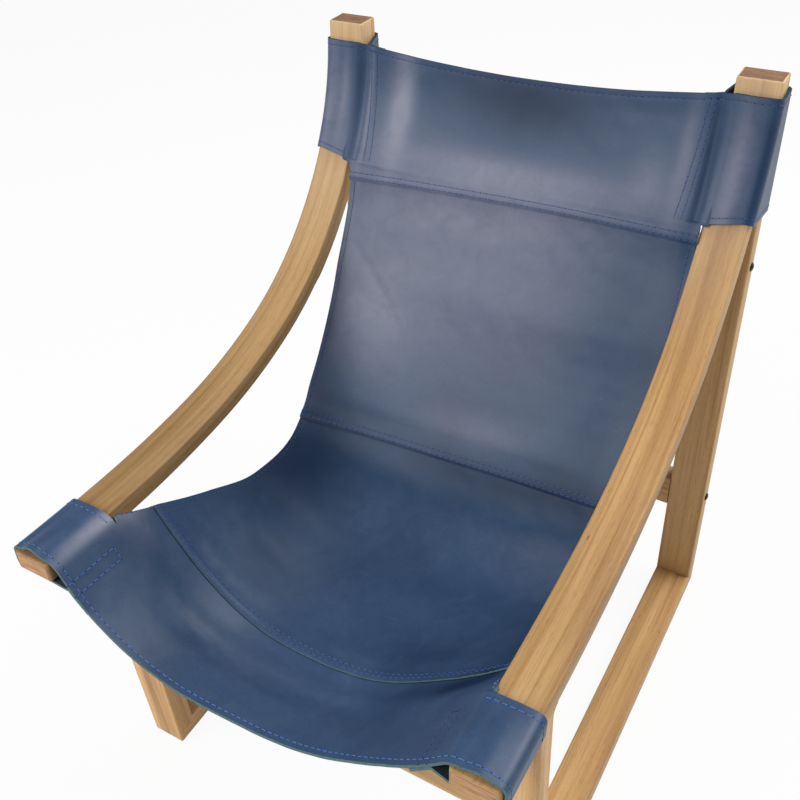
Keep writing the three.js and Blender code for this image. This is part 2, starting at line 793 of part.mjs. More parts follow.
// Lowest underside of the sling between two places of the side view
function slingUnderside(front, back) {
  let lowest = railFrontHeight;
  for (let row = 0; row <= undersideSteps; row += 1) {
    for (let column = 0; column <= undersideSteps; column += 1) {
      const under = slingPair(2 * column / undersideSteps - 1, headPanel * row / undersideSteps, 0).inner;
      if (under.y >= front && under.y <= back) {
        lowest = Math.min(lowest, under.z);
      }
    }
  }
  return lowest;
}

// Lower edge of the head sleeves on the rear legs' back faces
function sleeveLowerEdge() {
  const places = Object.values(sides).map((side) => lineShare(side, sleeveStartLine));
  return Math.min(...places.map((place) => sleeveWood(place, 0, 0).back.y));
}

// Heights of the crossbars' lower edges: one bar just under the sling, one clear below the sleeves
const frontCrossbarHeight = slingUnderside(frontLegSetback, frontLegSetback + barThickness)
  - frontCrossbarBelowSling - barWidth;
const upperCrossbarHeight = sleeveLowerEdge() - upperCrossbarBelowSleeve - barWidth;

const crossbars = {
  front: crossbarPlace(() => frontLegSetback, frontCrossbarHeight, 0),
  rear_lower: crossbarPlace(rearLegFront, lowerCrossbarHeight, lean),
  rear_upper: crossbarPlace(rearLegFront, upperCrossbarHeight, lean),
};

// One side frame, about the middle of its bars
function sideFrame(name, side) {
  const frame = new THREE.Group();
  frame.position.x = side * sideCentre;
  frame.add(mesh(`arm_rail_${name}`, armRail(), woodFinish));
  frame.add(mesh(`front_leg_${name}`, frontLeg(side), woodFinish));
  frame.add(mesh(`rear_leg_${name}`, rearLeg(side), woodFinish));
  frame.add(mesh(`floor_runner_${name}`, floorRunner(), woodFinish));
  frame.add(mesh(`leg_tenon_${name}`, tenonPlaced(0), beechFinish));
  frame.add(mesh(`mitre_spline_front_${name}`, splinePlaced(frontMitre, 0), beechFinish));
  frame.add(mesh(`mitre_spline_rear_${name}`, splinePlaced(rearMitre, 0), beechFinish));
  return frame;
}

// One crossbar with its bolts, barrel nuts and dowels
function crossbarSet(name, place) {
  const set = new THREE.Group();
  set.position.set(0, place.y, place.z);
  set.rotation.x = -place.tilt;
  set.add(mesh(`${name}_crossbar`, crossbar(), woodFinish));
  for (const [sideName, side] of Object.entries(sides)) {
    const bolt = mesh(`bolt_${name}_${sideName}`, connectorBolt(), boltFinish);
    bolt.position.x = side * (outerHalf + jointGap);
    bolt.rotation.z = side > 0 ? 0 : Math.PI;
    const nut = mesh(`barrel_nut_${name}_${sideName}`, barrelNut(), zincFinish);
    nut.position.x = side * (innerHalf - jointGap - nutInset);
    set.add(bolt, nut);
    for (const [levelName, level] of [['below', -1], ['above', 1]]) {
      const bar = roundBar(dowelRadius, dowelLength);
      const dowel = mesh(`dowel_${name}_${sideName}_${levelName}`, bar, beechFinish);
      dowel.position.set(side * (innerHalf - jointGap / 2), 0, level * dowelOffset);
      set.add(dowel);
    }
  }
  return set;
}

// The sling's four panels
function sling() {
  const panels = new THREE.Group();
  panels.add(mesh('leather_front_panel', frontPanelSheet(), leatherFinish));
  panels.add(mesh('leather_seat_panel', middlePanelSheet(1), leatherFinish));
  panels.add(mesh('leather_back_panel', middlePanelSheet(2), leatherFinish));
  panels.add(mesh('leather_head_panel', headPanelSheet(), leatherFinish));
  return panels;
}

// The chair stands on the floor with the middle of its outline at the origin
function chair() {
  const body = new THREE.Group();
  for (const [name, side] of Object.entries(sides)) {
    body.add(sideFrame(name, side));
  }
  for (const [name, place] of Object.entries(crossbars)) {
    body.add(crossbarSet(name, place));
  }
  body.add(sling());
  body.updateMatrixWorld(true);
  const outline = new THREE.Box3().setFromObject(body, true);
  body.position.y = -(outline.min.y + outline.max.y) / 2;
  const whole = new THREE.Group();
  whole.add(body);
  return whole;
}

const group = chair();

export default group;
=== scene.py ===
"""Leather sling lounge chair: two bent-wood side frames, three crossbars and a sewn leather sling.

Metres. X runs across, right side positive, Y from the front to the back, Z up. A side view of the
chair is worked out in (y, z) with y = 0 at the front end of the rails, and then shifted back to the
middle of the chair.
"""

import math

import bpy
import mathutils
import numpy as np
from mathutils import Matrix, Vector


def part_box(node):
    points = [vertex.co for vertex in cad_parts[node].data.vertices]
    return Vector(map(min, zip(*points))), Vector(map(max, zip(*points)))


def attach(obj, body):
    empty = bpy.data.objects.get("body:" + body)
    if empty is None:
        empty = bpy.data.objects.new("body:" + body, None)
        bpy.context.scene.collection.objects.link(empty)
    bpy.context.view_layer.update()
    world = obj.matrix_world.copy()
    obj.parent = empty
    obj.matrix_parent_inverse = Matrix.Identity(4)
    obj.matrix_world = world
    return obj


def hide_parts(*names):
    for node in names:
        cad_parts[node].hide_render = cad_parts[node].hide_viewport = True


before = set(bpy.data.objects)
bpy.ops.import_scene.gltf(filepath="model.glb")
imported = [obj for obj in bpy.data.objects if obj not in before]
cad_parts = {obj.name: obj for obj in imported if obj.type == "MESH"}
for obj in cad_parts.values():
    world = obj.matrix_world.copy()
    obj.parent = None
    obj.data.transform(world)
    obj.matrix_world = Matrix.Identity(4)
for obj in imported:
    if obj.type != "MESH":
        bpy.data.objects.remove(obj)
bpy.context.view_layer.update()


# Arm rails.
# Each is one bar glued up from thin layers of hardwood, bent so that it runs level under the arm and
# then climbs to become the back post. It is 53 by 26 mm with softened edges, sawn level at the top.
chair_width = 0.610
bar_width = 0.053
rail_thickness = 0.026
edge_radius = 0.003
end_ease = 0.002
rail_end_radius = 0.0045
# Tones along each rail, at the arm and at the top: painted shade on the arm and painted light up the post,
# with the left rail painted darker.
rail_light_tones = {"left": (0.58, 1.10), "right": (0.80, 1.25)}
# Pale colour painted at the post tops: painted light.
painted_light_pale = (0.80, 0.64, 0.45)
rail_length = 0.905
rail_front_height = 0.477
rail_headings = np.radians([-3.5, -0.5, 6.5, 20.5, 41.5, 60.5, 86.0])
rail_step = 0.006
scarf_start = 0.6
arc_steps = 6
least_bend, flush_share = 0.12, 0.9
end_narrowing = 0.85
layer_thickness = 0.0052
outer_half = chair_width / 2
inner_half = outer_half - bar_width
side_centre = outer_half - bar_width / 2
sides = {"left": -1, "right": 1}
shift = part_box("arm_rail_right")[0].y - rail_thickness * math.sin(rail_headings[0])
heading_spans = len(rail_headings) - 1

wood_light = (0.70, 0.45, 0.215)
wood_colour = (0.57, 0.34, 0.140)
wood_dark = (0.40, 0.215, 0.080)
layer_line = (0.30, 0.135, 0.055)
knot_place = (0.311, -0.0185)
knot_turn = 1.1
knot_stretch = (210, 1100, 0)
knot_colour = (0.13, 0.06, 0.025)
layer_wander = 0.0012
scarf_blend = 0.015
rail_grain = (1.7, 0.31, 0.208)
# Where along a rail its painted light starts and ends, and how far past the start its painted paleness
# begins.
light_tone_from, light_tone_to, pale_light_after = 0.25, 1.05, 0.3


def rail_heading(share):
    """Heading of the rail's front face: straight lines between the headings at equal shares."""
    share = np.asarray(share, float)
    span = np.clip(np.floor(share * heading_spans), 0, heading_spans - 1).astype(int)
    along = share * heading_spans - span
    return rail_headings[span] * (1 - along) + rail_headings[span + 1] * along


def arc_way(start, end, turn_rate):
    """Way covered by an arc that turns from one heading to another: the integral of (cos, sin)."""
    way = [np.sin(end) - np.sin(start), np.cos(start) - np.cos(end)]
    return np.stack(way, -1) / np.asarray(turn_rate)[..., None]


turn_rates = np.diff(rail_headings) * heading_spans / rail_length
arc_ways = arc_way(rail_headings[:-1], rail_headings[1:], turn_rates)
rail_starts = np.array([0, rail_front_height]) + np.vstack([np.zeros(2), np.cumsum(arc_ways, 0)])


def rail_inward(share):
    """Direction in (y, z) from the rail's front face to its back face."""
    heading = rail_heading(share)
    return np.stack([np.sin(heading), -np.cos(heading)], -1)


def rail_point(share, depth=0.0):
    """Point in (y, z) at a depth under the rail's front face: start of its arc, way along it, depth."""
    share = np.asarray(share, float)
    span = np.clip(np.floor(share * heading_spans), 0, heading_spans - 1).astype(int)
    way = arc_way(rail_headings[span], rail_heading(share), turn_rates[span])
    return rail_starts[span] + way + rail_inward(share) * np.asarray(depth)[..., None]


chair_height = rail_point(1.0, rail_thickness)[1]


def in_space(x, side_view):
    """Points (x, y, z) of the chair from x and points (y, z) of the side view."""
    return np.stack(np.broadcast_arrays(x, side_view[..., 0] + shift, side_view[..., 1]), -1)


def bar_section(width, thickness, inset, radius, joined_front=0.0, joined_back=0.0):
    """Rings of a rounded rectangle drawn in by inset: (across, down), with down from 0 to thickness.

    Each ring is four quarter circles about the corners' centres, joined by the straight sides. Where the
    front or back face is joined and planed flush, it isn't drawn in and its corners are sharp.
    """
    quarter = np.repeat(np.arange(4), arc_steps + 1)
    angle = (np.tile(np.linspace(0, 1, arc_steps + 1), 4) + quarter) * math.pi / 2
    corner = (quarter + 0.5) * math.pi / 2
    width, inset = np.asarray(width)[:, None], np.asarray(inset)[:, None]
    at_back = np.sin(corner) > 0
    joined = np.where(at_back, np.reshape(joined_back, (-1, 1)), np.reshape(joined_front, (-1, 1)))
    bend = np.maximum(radius - inset, radius * least_bend) * (1 - flush_share * joined)
    face_inset = inset * (1 - joined)
    across = np.sign(np.cos(corner)) * (width / 2 - inset - bend) + bend * np.cos(angle)
    down = np.where(at_back, thickness - face_inset - bend, face_inset + bend) + bend * np.sin(angle)
    return across, down


def eased_stations(length, ease_start, ease_end, step):
    """Stations along a bar, and the inset there: even steps, with a quarter circle at each eased end."""
    turn = np.linspace(0, math.pi / 2, 5)
    steps = max(2, int(round((length - ease_start - ease_end) / step)))
    middle = np.linspace(ease_start, length - ease_end, steps + 1)
    before = ease_start * (1 - np.cos(turn)) if ease_start else np.array([])
    after = length - (ease_end * (1 - np.cos(turn)))[::-1] if ease_end else np.array([])
    stations = np.unique(np.concatenate([before, middle, after]).round(7))
    from_start = np.clip(ease_start - stations, 0, None)
    from_end = np.clip(ease_end - (length - stations), 0, None)
    inset_start = ease_start - np.sqrt(np.maximum(ease_start ** 2 - from_start ** 2, 0))
    inset_end = ease_end - np.sqrt(np.maximum(ease_end ** 2 - from_end ** 2, 0))
    return stations, inset_start + inset_end


def new_object(name, data):
    """An object that holds some data, linked to the scene."""
    made = bpy.data.objects.new(name, data)
    bpy.context.scene.collection.objects.link(made)
    return made


def new_piece(name, points, faces, materials, grain=None, face_materials=None, sharp_angle=40):
    """A mesh object of a point array and a list of faces: shaded smooth, with its sharp folds kept."""
    mesh = bpy.data.meshes.new(name)
    mesh.from_pydata(points.reshape(-1, 3).tolist(), [], faces)
    for material in materials:
        mesh.materials.append(material)
    if face_materials is not None:
        mesh.polygons.foreach_set("material_index", np.asarray(face_materials, np.int32))
    if grain is not None:
        layer = mesh.attributes.new("grain", "FLOAT_VECTOR", "POINT")
        layer.data.foreach_set("vector", grain.reshape(-1).astype(np.float32))
    mesh.shade_smooth()
    mesh.set_sharp_from_angle(angle=math.radians(sharp_angle))
    piece = new_object(name, mesh)
    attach(piece, "root")
    return piece


def tube_faces(rings, sides_round):
    """Faces of a closed tube: quads between neighbouring rings, and one face on each end."""
    ring, side = np.meshgrid(np.arange(rings - 1), np.arange(sides_round), indexing="ij")
    after = (side + 1) % sides_round
    corners = [ring * sides_round + side, ring * sides_round + after]
    corners += [(ring + 1) * sides_round + after, (ring + 1) * sides_round + side]
    quads = np.stack(corners, -1).reshape(-1, 4).tolist()
    start = list(range(sides_round))[::-1]
    end = list(range((rings - 1) * sides_round, rings * sides_round))
    return [*quads, start, end]


def outward(points, faces):
    """The faces, turned round if the volume that they enclose comes out negative."""
    volume = sum((np.cross(points[face][1:-1], points[face][2:]) @ points[face][0]).sum() for face in faces)
    return faces if volume > 0 else [face[::-1] for face in faces]


def node_maker(material):
    """Makes nodes in a material: each call gives a node of that type with its inputs set or linked."""
    tree = material.node_tree

    def make(kind, inputs=None, **settings):
        node = tree.nodes.new("ShaderNode" + kind)
        for key, value in settings.items():
            setattr(node, key, value)
        for key, value in (inputs or {}).items():
            socket = node.inputs[key]
            if isinstance(value, bpy.types.NodeSocket):
                tree.links.new(value, socket)
            else:
                socket.default_value = (*value, 1) if socket.type == "RGBA" else value
        return node

    return make


def new_material(name):
    """An empty node material and its node maker."""
    material = bpy.data.materials.new(name)
    material.use_nodes = True
    material.node_tree.nodes.clear()
    return material, node_maker(material)


def ramp(make, factor, stops):
    """Colours blended between stops, each a place and a colour or a grey."""
    node = make("ValToRGB", {"Fac": factor})
    elements = node.color_ramp.elements
    for _ in stops[2:]:
        elements.new(0.5)
    for element, (place, colour) in zip(elements, stops):
        element.position = place
        element.color = (*colour, 1) if isinstance(colour, tuple) else (colour, colour, colour, 1)
    return node.outputs["Color"]


def blend(make, kind, factor, first, second):
    """Two colours combined: mixed, multiplied and so on."""
    inputs = {"Factor": factor, 6: first, 7: second}
    return make("Mix", inputs, data_type="RGBA", blend_type=kind).outputs[2]


def tinted(make, colour, *tints):
    """A colour multiplied by each tint."""
    for tint in tints:
        colour = blend(make, "MULTIPLY", 1.0, colour, tint)
    return colour


def combine(make, operation, first, second):
    """Two numbers combined: added, multiplied and so on."""
    return make("Math", {0: first, 1: second}, operation=operation).outputs["Value"]


def rescaled(make, value, low, high, to_low=0.0, to_high=1.0):
    """A number moved from one span to another and kept inside it."""
    inputs = {"Value": value, "From Min": low, "From Max": high, "To Min": to_low, "To Max": to_high}
    return make("MapRange", inputs).outputs["Result"]


def bumped(make, height, strength, distance, **normal):
    """Normals of a relief, from its height, its strength and the distance that a height of one means."""
    inputs = {"Height": height, "Strength": strength, "Distance": distance, **normal}
    return make("Bump", inputs).outputs["Normal"]


def finished(material, make, inputs):
    """The material, closed with a shader that has these inputs."""
    make("OutputMaterial", {"Surface": make("BsdfPrincipled", inputs).outputs["BSDF"]})
    return material


def stretched_noise(make, place, stretch, detail=4.0, roughness=0.55, distortion=0.0):
    """Noise over coordinates stretched by a factor each way, drawn out where the factor is small."""
    moved = make("Mapping", {"Vector": place, "Scale": stretch}).outputs["Vector"]
    look = {"Scale": 1.0, "Detail": detail, "Roughness": roughness, "Distortion": distortion}
    return make("TexNoise", {"Vector": moved, **look}).outputs["Fac"]


def part_of(make, place, axis):
    """One coordinate of a place."""
    return make("SeparateXYZ", {"Vector": place}).outputs[axis]


def glue_lines(make, depth, start, end, strength):
    """Lines at the glue between the layers: the peaks of a zigzag over the depth."""
    zigzag = combine(make, "PINGPONG", combine(make, "DIVIDE", depth, layer_thickness), 1.0)
    return rescaled(make, zigzag, start, end, 0.0, strength)


def planed_wood(name, place_of, layers=0.0, knot=None, lightness=1.0, light_along_grain=None):
    """Planed hardwood: broad streaks, growth lines, fibres and short pores along the grain, a low sheen.

    Layers give thin glue lines at even depths. A knot is a small dark eye at one place on the face.
    Painted light changes the tone along the grain: two places and the tone at each, painted shade at the arm
    and painted light towards the top, where the wood is also painted pale.
    """
    material, make = new_material(name)
    place = place_of(make)
    streaks = stretched_noise(make, place, (1.1, 17, 17), 5.0, 0.55, 0.7)
    growth = stretched_noise(make, place, (2.4, 150, 150), 3.0, 0.5, 0.3)
    fibres = stretched_noise(make, place, (14, 620, 620), 3.0, 0.6)
    pores = stretched_noise(make, place, (70, 1500, 1500), 2.0, 0.5)
    stops = [(0.30, wood_dark), (0.46, wood_colour), (0.70, wood_light)]
    tone = ramp(make, streaks, [(stop, tuple(c * lightness for c in colour)) for stop, colour in stops])
    grown = ramp(make, growth, [(0.32, (0.80, 0.74, 0.66)), (0.50, 1.0), (0.72, (1.07, 1.06, 1.03))])
    fibred = ramp(make, fibres, [(0.28, (0.84, 0.79, 0.73)), (0.50, 1.0), (0.74, (1.06, 1.05, 1.03))])
    pored = ramp(make, pores, [(0.30, (0.66, 0.55, 0.44)), (0.39, 1.0)])
    coloured = tinted(make, tone, grown, fibred, pored)
    if layers:
        wander = combine(make, "MULTIPLY", growth, layer_wander)
        depth = combine(make, "ADD", part_of(make, place, "Z"), wander)
        coloured = blend(make, "MIX", glue_lines(make, depth, 0.90, 1.0, layers), coloured, layer_line)
    if knot:
        centred = make("Mapping", {"Vector": place, "Location": [-c for c in knot]}).outputs["Vector"]
        shaped = make("Mapping", {"Vector": centred, "Rotation": (0, 0, knot_turn), "Scale": knot_stretch})
        eye = make("VectorMath", {0: shaped.outputs["Vector"]}, operation="LENGTH").outputs["Value"]
        coloured = blend(make, "MIX", rescaled(make, eye, 0.5, 1.1, 0.75, 0.0), coloured, knot_colour)
    # Painted shade and light along the grain, and painted paleness towards the top.
    if light_along_grain:
        along = part_of(make, place, "X")
        coloured = tinted(make, coloured, rescaled(make, along, *light_along_grain))
        paled_by_light = rescaled(make, along, light_along_grain[0] + pale_light_after, light_along_grain[1], 0.0, 0.45)
        coloured = blend(make, "MIX", paled_by_light, coloured, painted_light_pale)
    inputs = {"Base Color": coloured, "Roughness": rescaled(make, streaks, 0, 1, 0.46, 0.60),
              "Normal": bumped(make, combine(make, "ADD", fibres, pores), 0.16, 0.0003),
              "Specular IOR Level": 0.32}
    return finished(material, make, inputs)


def own_grain(make):
    """The bar's own coordinates: along, across and down, moved to a different part of the wood."""
    return make("Attribute", attribute_name="grain").outputs["Vector"]


def sawn_end(name, light, dark, layers):
    """Sawn end grain: the layers show as reddish lines, with fine dark dots between them."""
    material, make = new_material(name)
    place = own_grain(make)
    cloud = stretched_noise(make, place, (30, 30, 90), 4.0)
    rings = stretched_noise(make, place, (10, 40, 900), 3.0, 0.6)
    dots = stretched_noise(make, place, (900, 900, 900), 2.0)
    tone = ramp(make, cloud, [(0.32, dark), (0.66, light)])
    ringed = ramp(make, rings, [(0.34, (0.62, 0.52, 0.44)), (0.56, 1.0)])
    dotted = ramp(make, dots, [(0.32, (0.70, 0.62, 0.55)), (0.48, 1.0)])
    glue = glue_lines(make, part_of(make, place, "Z"), 0.84, 0.98, layers)
    coloured = blend(make, "MIX", glue, tinted(make, tone, ringed, dotted), layer_line)
    inputs = {"Base Color": coloured, "Roughness": 0.72, "Normal": bumped(make, dots, 0.35, 0.0003)}
    return finished(material, make, inputs)


def wooden_bar(name, node, side, across, down, along, side_view, grain_start, materials, ends):
    """A bar of rings in the side view, moved out to its side, with its grain running along it.

    Each bar's grain coordinates start at a place of their own, mirrored on the other side.
    """
    start = np.array(grain_start) * (side, side, 1)
    points = in_space(side * side_centre + across, side_view).reshape(-1, 3)
    faces = outward(points, tube_faces(*across.shape))
    grain = np.stack(np.broadcast_arrays(along, across, down), -1) + start
    kinds = [0] * (len(faces) - 2) + ends
    piece = new_piece(name, points, faces, materials, grain, kinds)
    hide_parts(node)


front_end_grain = sawn_end("front_end_grain", (0.62, 0.37, 0.18), (0.44, 0.235, 0.105), 0.8)
top_end_grain = sawn_end("top_end_grain", (0.32, 0.175, 0.09), (0.19, 0.10, 0.05), 0.30)


def arm_rail(side, name):
    """Rings along the rail's arc, round in plan at the front end; the last ring lies in the level cut."""
    stations, insets = eased_stations(rail_length, end_ease, end_ease, rail_step)
    corner_turn = rail_end_radius * (1 - np.cos(np.linspace(0.2, 1, 6) * math.pi / 2))
    more = np.setdiff1d(corner_turn.round(7), stations)
    insets = np.interp(np.concatenate([stations, more]), stations, insets)
    stations = np.concatenate([stations, more])
    order = np.argsort(stations)
    stations, insets = stations[order], insets[order]
    into_corner = np.clip(rail_end_radius - stations, 0, None)
    narrowing = rail_end_radius - np.sqrt(rail_end_radius ** 2 - into_corner ** 2)
    widths = bar_width - 2 * np.clip(narrowing - insets, 0, None) * end_narrowing
    joined = np.clip((stations / rail_length - scarf_start) / scarf_blend, 0, 1)
    across, down = bar_section(widths, rail_thickness, insets, edge_radius, joined_back=joined)
    top = rail_point(np.ones_like(down[0]), down[0])[:, 1]
    cut_share = 1 - (top - chair_height) / (rail_length * math.sin(rail_headings[-1]))
    side_view = rail_point((stations / rail_length)[:, None] * cut_share, down)
    start = rail_grain[0] * side
    knot = (knot_place[0] + start, knot_place[1] + rail_grain[1], rail_grain[2]) if side > 0 else None
    # Painted shade on the arm and painted light up the post.
    light_along_grain = (start + light_tone_from, start + light_tone_to, *rail_light_tones[name])
    wood = planed_wood(f"bent_wood_{name}", own_grain, 0.22, knot, 1.0, light_along_grain)
    wooden_bar(f"bent_rail_{name}", f"arm_rail_{name}", side, across, down, stations[:, None], side_view,
               rail_grain, [wood, front_end_grain, top_end_grain], [1, 2])


for name, side in sides.items():
    arm_rail(side, name)


# Legs and floor runners.
# Straight bars of the same wood, 53 by 30 mm. The legs are mitred and splined to the runners, the front
# leg meets the rail with a small fillet behind it, and the rear leg is planed to the back of the rail.
bar_thickness = 0.030
bar_step = 0.008
glue_gap = 0.00005
front_leg_setback = 0.089
fillet_radius = 0.011
scarf_tip = 0.0072
lean = math.radians(1)
rear_leg_depth = bar_thickness / math.cos(lean)
top_front = rail_point(1.0, rail_thickness)[0] + scarf_tip - rear_leg_depth
rear_leg_setback = top_front - math.tan(lean) * chair_height
bar_wood = planed_wood("bar_wood", own_grain, lightness=1.18)
# A darker copy of the bars' wood for the rear legs: painted shade.
rear_leg_wood_painted_shade = planed_wood("rear_leg_wood_painted_shade", own_grain, lightness=0.98)


def rear_leg_front(height):
    """Front face of the leaning rear leg at a height."""
    return rear_leg_setback + math.tan(lean) * height


def rear_leg_back(height):
    """Back face of the leaning rear leg at a height."""
    return rear_leg_front(height) + rear_leg_depth


def rear_leg(side, name):
    """Rings climb from the mitre to the level cut. The front face gives way to the rail's back."""
    stations, insets = eased_stations(chair_height, 0, end_ease, bar_step)
    rail_back = rail_point(np.linspace(scarf_start, 1, 200), np.full(200, rail_thickness + glue_gap))
    meeting = rail_back[np.argmax(rail_back[:, 0] > rear_leg_front(rail_back[:, 1])), 1]
    joined = np.clip((stations - meeting) / scarf_blend, 0, 1)
    across, down = bar_section(np.full_like(stations, bar_width), bar_thickness, insets, edge_radius, joined)
    backwards = down / bar_thickness
    mitre = bar_thickness * (1 - backwards)
    height = mitre + (stations / chair_height)[:, None] * (chair_height - mitre)
    front = np.maximum(rear_leg_front(height), np.interp(height, rail_back[:, 1], rail_back[:, 0]))
    y = front + backwards * (rear_leg_back(height) - front)
    wooden_bar(f"back_leg_{name}", f"rear_leg_{name}", side, across, down, height, np.stack([y, height], -1),
               (3.1, 0.52, 0.7), [rear_leg_wood_painted_shade, top_end_grain], [0, 1])


def front_leg(side, name):
    """Rings climb from the mitre to the rail's underside, and widen backwards through a quarter circle."""
    length = rail_point(front_leg_setback / rail_length, rail_thickness)[1]
    into_fillet = fillet_radius * np.linspace(1.2, 0, 14) ** 1.5
    straight = np.arange(0, length - into_fillet[0] - 0.002, bar_step)
    stations = np.concatenate([straight, length - into_fillet])
    across, down = bar_section(np.full_like(stations, bar_width), bar_thickness, stations * 0, edge_radius)
    backwards = down / bar_thickness
    mitre = bar_thickness * backwards
    thickness = np.full_like(down, bar_thickness)
    for _ in range(2):
        y = front_leg_setback + backwards * thickness
        top = rail_point(y / rail_length, np.full_like(y, rail_thickness + glue_gap))[..., 1]
        height = mitre + (stations / length)[:, None] * (top - mitre)
        below = np.clip(fillet_radius - (top - height), 0, fillet_radius)
        thickness = bar_thickness + fillet_radius - np.sqrt(fillet_radius ** 2 - below ** 2)
    wooden_bar(f"fore_leg_{name}", f"front_leg_{name}", side, across, down, height, np.stack([y, height], -1),
               (5.3, 0.13, 0.1), [bar_wood], [0, 0])


def floor_runner(side, name):
    """Rings run from the front mitre to the rear one."""
    stations = np.linspace(0, 1, 40)
    across, rise = bar_section(np.full_like(stations, bar_width), bar_thickness, stations * 0, edge_radius)
    start = front_leg_setback + rise
    end = rear_leg_back(0) + rise / bar_thickness * (rear_leg_front(bar_thickness) - rear_leg_back(0))
    y = start + stations[:, None] * (end - start)
    side_view = np.stack([y, rise], -1)
    wooden_bar(f"ground_runner_{name}", f"floor_runner_{name}", side, across, rise, y, side_view,
               (7.9, 0.77, 0.4), [bar_wood], [0, 0])


for name, side in sides.items():
    rear_leg(side, name)
    front_leg(side, name)
    floor_runner(side, name)


# Crossbars and hidden joinery.
# Three bars on edge, of the same wood, tie the side frames together. Beech dowels, tenons and splines
# sit glued inside the joints.
def object_place(make):
    """Coordinates of the object itself. The grain of a crossbar runs along the first."""
    return make("TexCoord").outputs["Object"]


def give_material(node, material):
    """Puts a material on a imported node."""
    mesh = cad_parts[node].data
    mesh.materials.clear()
    mesh.materials.append(material)


crossbar_wood = planed_wood("crossbar_wood", object_place)
beech = planed_wood("raw_beech", object_place, lightness=1.15)
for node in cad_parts:
    if node.endswith("_crossbar"):
        give_material(node, crossbar_wood)
    if node.startswith(("dowel_", "leg_tenon_", "mitre_spline_")):
        give_material(node, beech)


# Connector bolts and barrel nuts.
# A black domed bolt with a hex socket goes through each leg into a zinc barrel nut in the crossbar.
bolt_radius = 0.003
head_radius = 0.006
head_height = 0.0032
socket_radius = 0.0021
socket_depth = 0.0020
shank_length = 0.085
point_length = 0.0006
bolt_sides = 36


def shaded(make, factor, colour, darkest, lightest):
    """A colour that varies between two shares of itself."""
    dark, light = (tuple(c * share for c in colour) for share in (darkest, lightest))
    return ramp(make, factor, [(0.3, dark), (0.7, light)])


def metal(name, colour, roughness, metallic):
    """Metal with fine marks in its colour and roughness."""
    material, make = new_material(name)
    marks = make("TexNoise", {"Vector": object_place(make), "Scale": 900.0, "Detail": 3.0}).outputs["Fac"]
    rough = rescaled(make, marks, 0, 1, roughness - 0.06, roughness + 0.08)
    inputs = {"Base Color": shaded(make, marks, colour, 0.8, 1.0), "Metallic": metallic, "Roughness": rough,
              "Normal": bumped(make, marks, 0.1, 0.0001)}
    return finished(material, make, inputs)


black_steel = metal("black_steel", (0.022, 0.021, 0.022), 0.34, 0.6)
zinc = metal("zinc_plate", (0.55, 0.56, 0.58), 0.36, 1.0)


def bolt(node):
    """A profile of (distance from the seat, radius) turned round the bolt's axis, with a hex socket."""
    low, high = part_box(node)
    side = 1 if high.x > 0 else -1
    axis_y, axis_z = (low.y + high.y) / 2, (low.z + high.z) / 2
    seat = side * (max(abs(low.x), abs(high.x)) - head_height)
    turn = np.linspace(0, math.acos(socket_radius / head_radius) * 0.97, 7)
    dome = np.stack([head_height * np.sin(turn), head_radius * np.cos(turn)], -1)
    point = [(-shank_length, bolt_radius * 0.8), (-shank_length + point_length, bolt_radius)]
    socket = [(head_height * 0.92, socket_radius), (head_height - socket_depth, socket_radius * 0.98)]
    depth, radius = np.concatenate([point, [(0, bolt_radius), (0, head_radius * 0.97)], dome, socket]).T
    angle = np.arange(bolt_sides) * 2 * math.pi / bolt_sides
    hexagon = math.cos(math.pi / 6) / np.cos((angle % (math.pi / 3)) - math.pi / 6)
    in_socket = np.arange(len(depth)) >= len(depth) - len(socket)
    around = radius[:, None] * np.where(in_socket[:, None], hexagon, 1.0)
    x = np.broadcast_to((seat + side * depth)[:, None], around.shape)
    y, z = axis_y + around * np.cos(angle), axis_z + around * np.sin(angle)
    points = np.stack([x, y, z], -1).reshape(-1, 3)
    faces = outward(points, tube_faces(*around.shape))
    piece = new_piece("domed_" + node, points, faces, [black_steel], sharp_angle=32)
    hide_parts(node)


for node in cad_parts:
    if node.startswith("bolt_"):
        bolt(node)
    if node.startswith("barrel_nut_"):
        give_material(node, zinc)


# Front leather panel.
# Waxed navy leather, 3.5 mm thick, with raw teal edges. Its ends wrap the front ends of the rails as
# pockets: over the rail in a loose bend, down its side, back under it and up against the panel.
leather_thickness = 0.0035
leather_gap = 0.0003
seam_overlap = 0.022
seam_ramp = 0.030
paring_start = 0.004
hidden_paring = 0.0023
hidden_sinking = 0.0006
edge_paring = 0.0017
free_halves = {"left": inner_half - 0.008, "right": inner_half - 0.0010}
wood_edge = 0.003
pocket_leg_clearance = 0.004
corner_radii = {"left": 0.018, "right": 0.0035}
pocket_easing, sleeve_easing = 0.080, 0.070
side_drop = 0.164
side_drop_places = [0.0975, 0.105, 0.132, 0.175, 0.267, 0.357, 0.42, 0.464, 0.498, 0.534, 0.571, 0.61,
                    0.65, 0.707, 0.77, 0.795]
side_drop_shares = [0, 0.006, 0.088, 0.226, 0.563, 0.896, 1, 0.915, 0.76, 0.625, 0.495, 0.37, 0.252, 0.145,
                    0.045, 0]
middle_sag = 0.161
middle_sag_places = [0, 0.03, 0.06, 0.105, 0.165, 0.25, 0.33, 0.42, 0.5, 0.7, 0.8, 0.96]
middle_sag_shares = [0.77, 0.812, 0.866, 0.985, 0.866, 0.654, 0.393, 0.085, 0.063, 0.076, 0.075, 0.139]
back_start = 0.5
seat_roundness, back_roundness = 2.41, 1.62
seat_skew, back_skew = 0.13, 0.022
seam_places = np.array([-0.002, 0.165, 0.4605, 0.7725, 0.975])
seam_bows = np.array([0.009, -0.0165, 0.0055, 0.0065, -0.024])
seam_skews = np.array([0, -0.0035, 0.006, 0.006, 0.003])
front_corner = 0.006
pocket_end = 0.6
head_number = 3
sleeve_start = head_number + 0.15
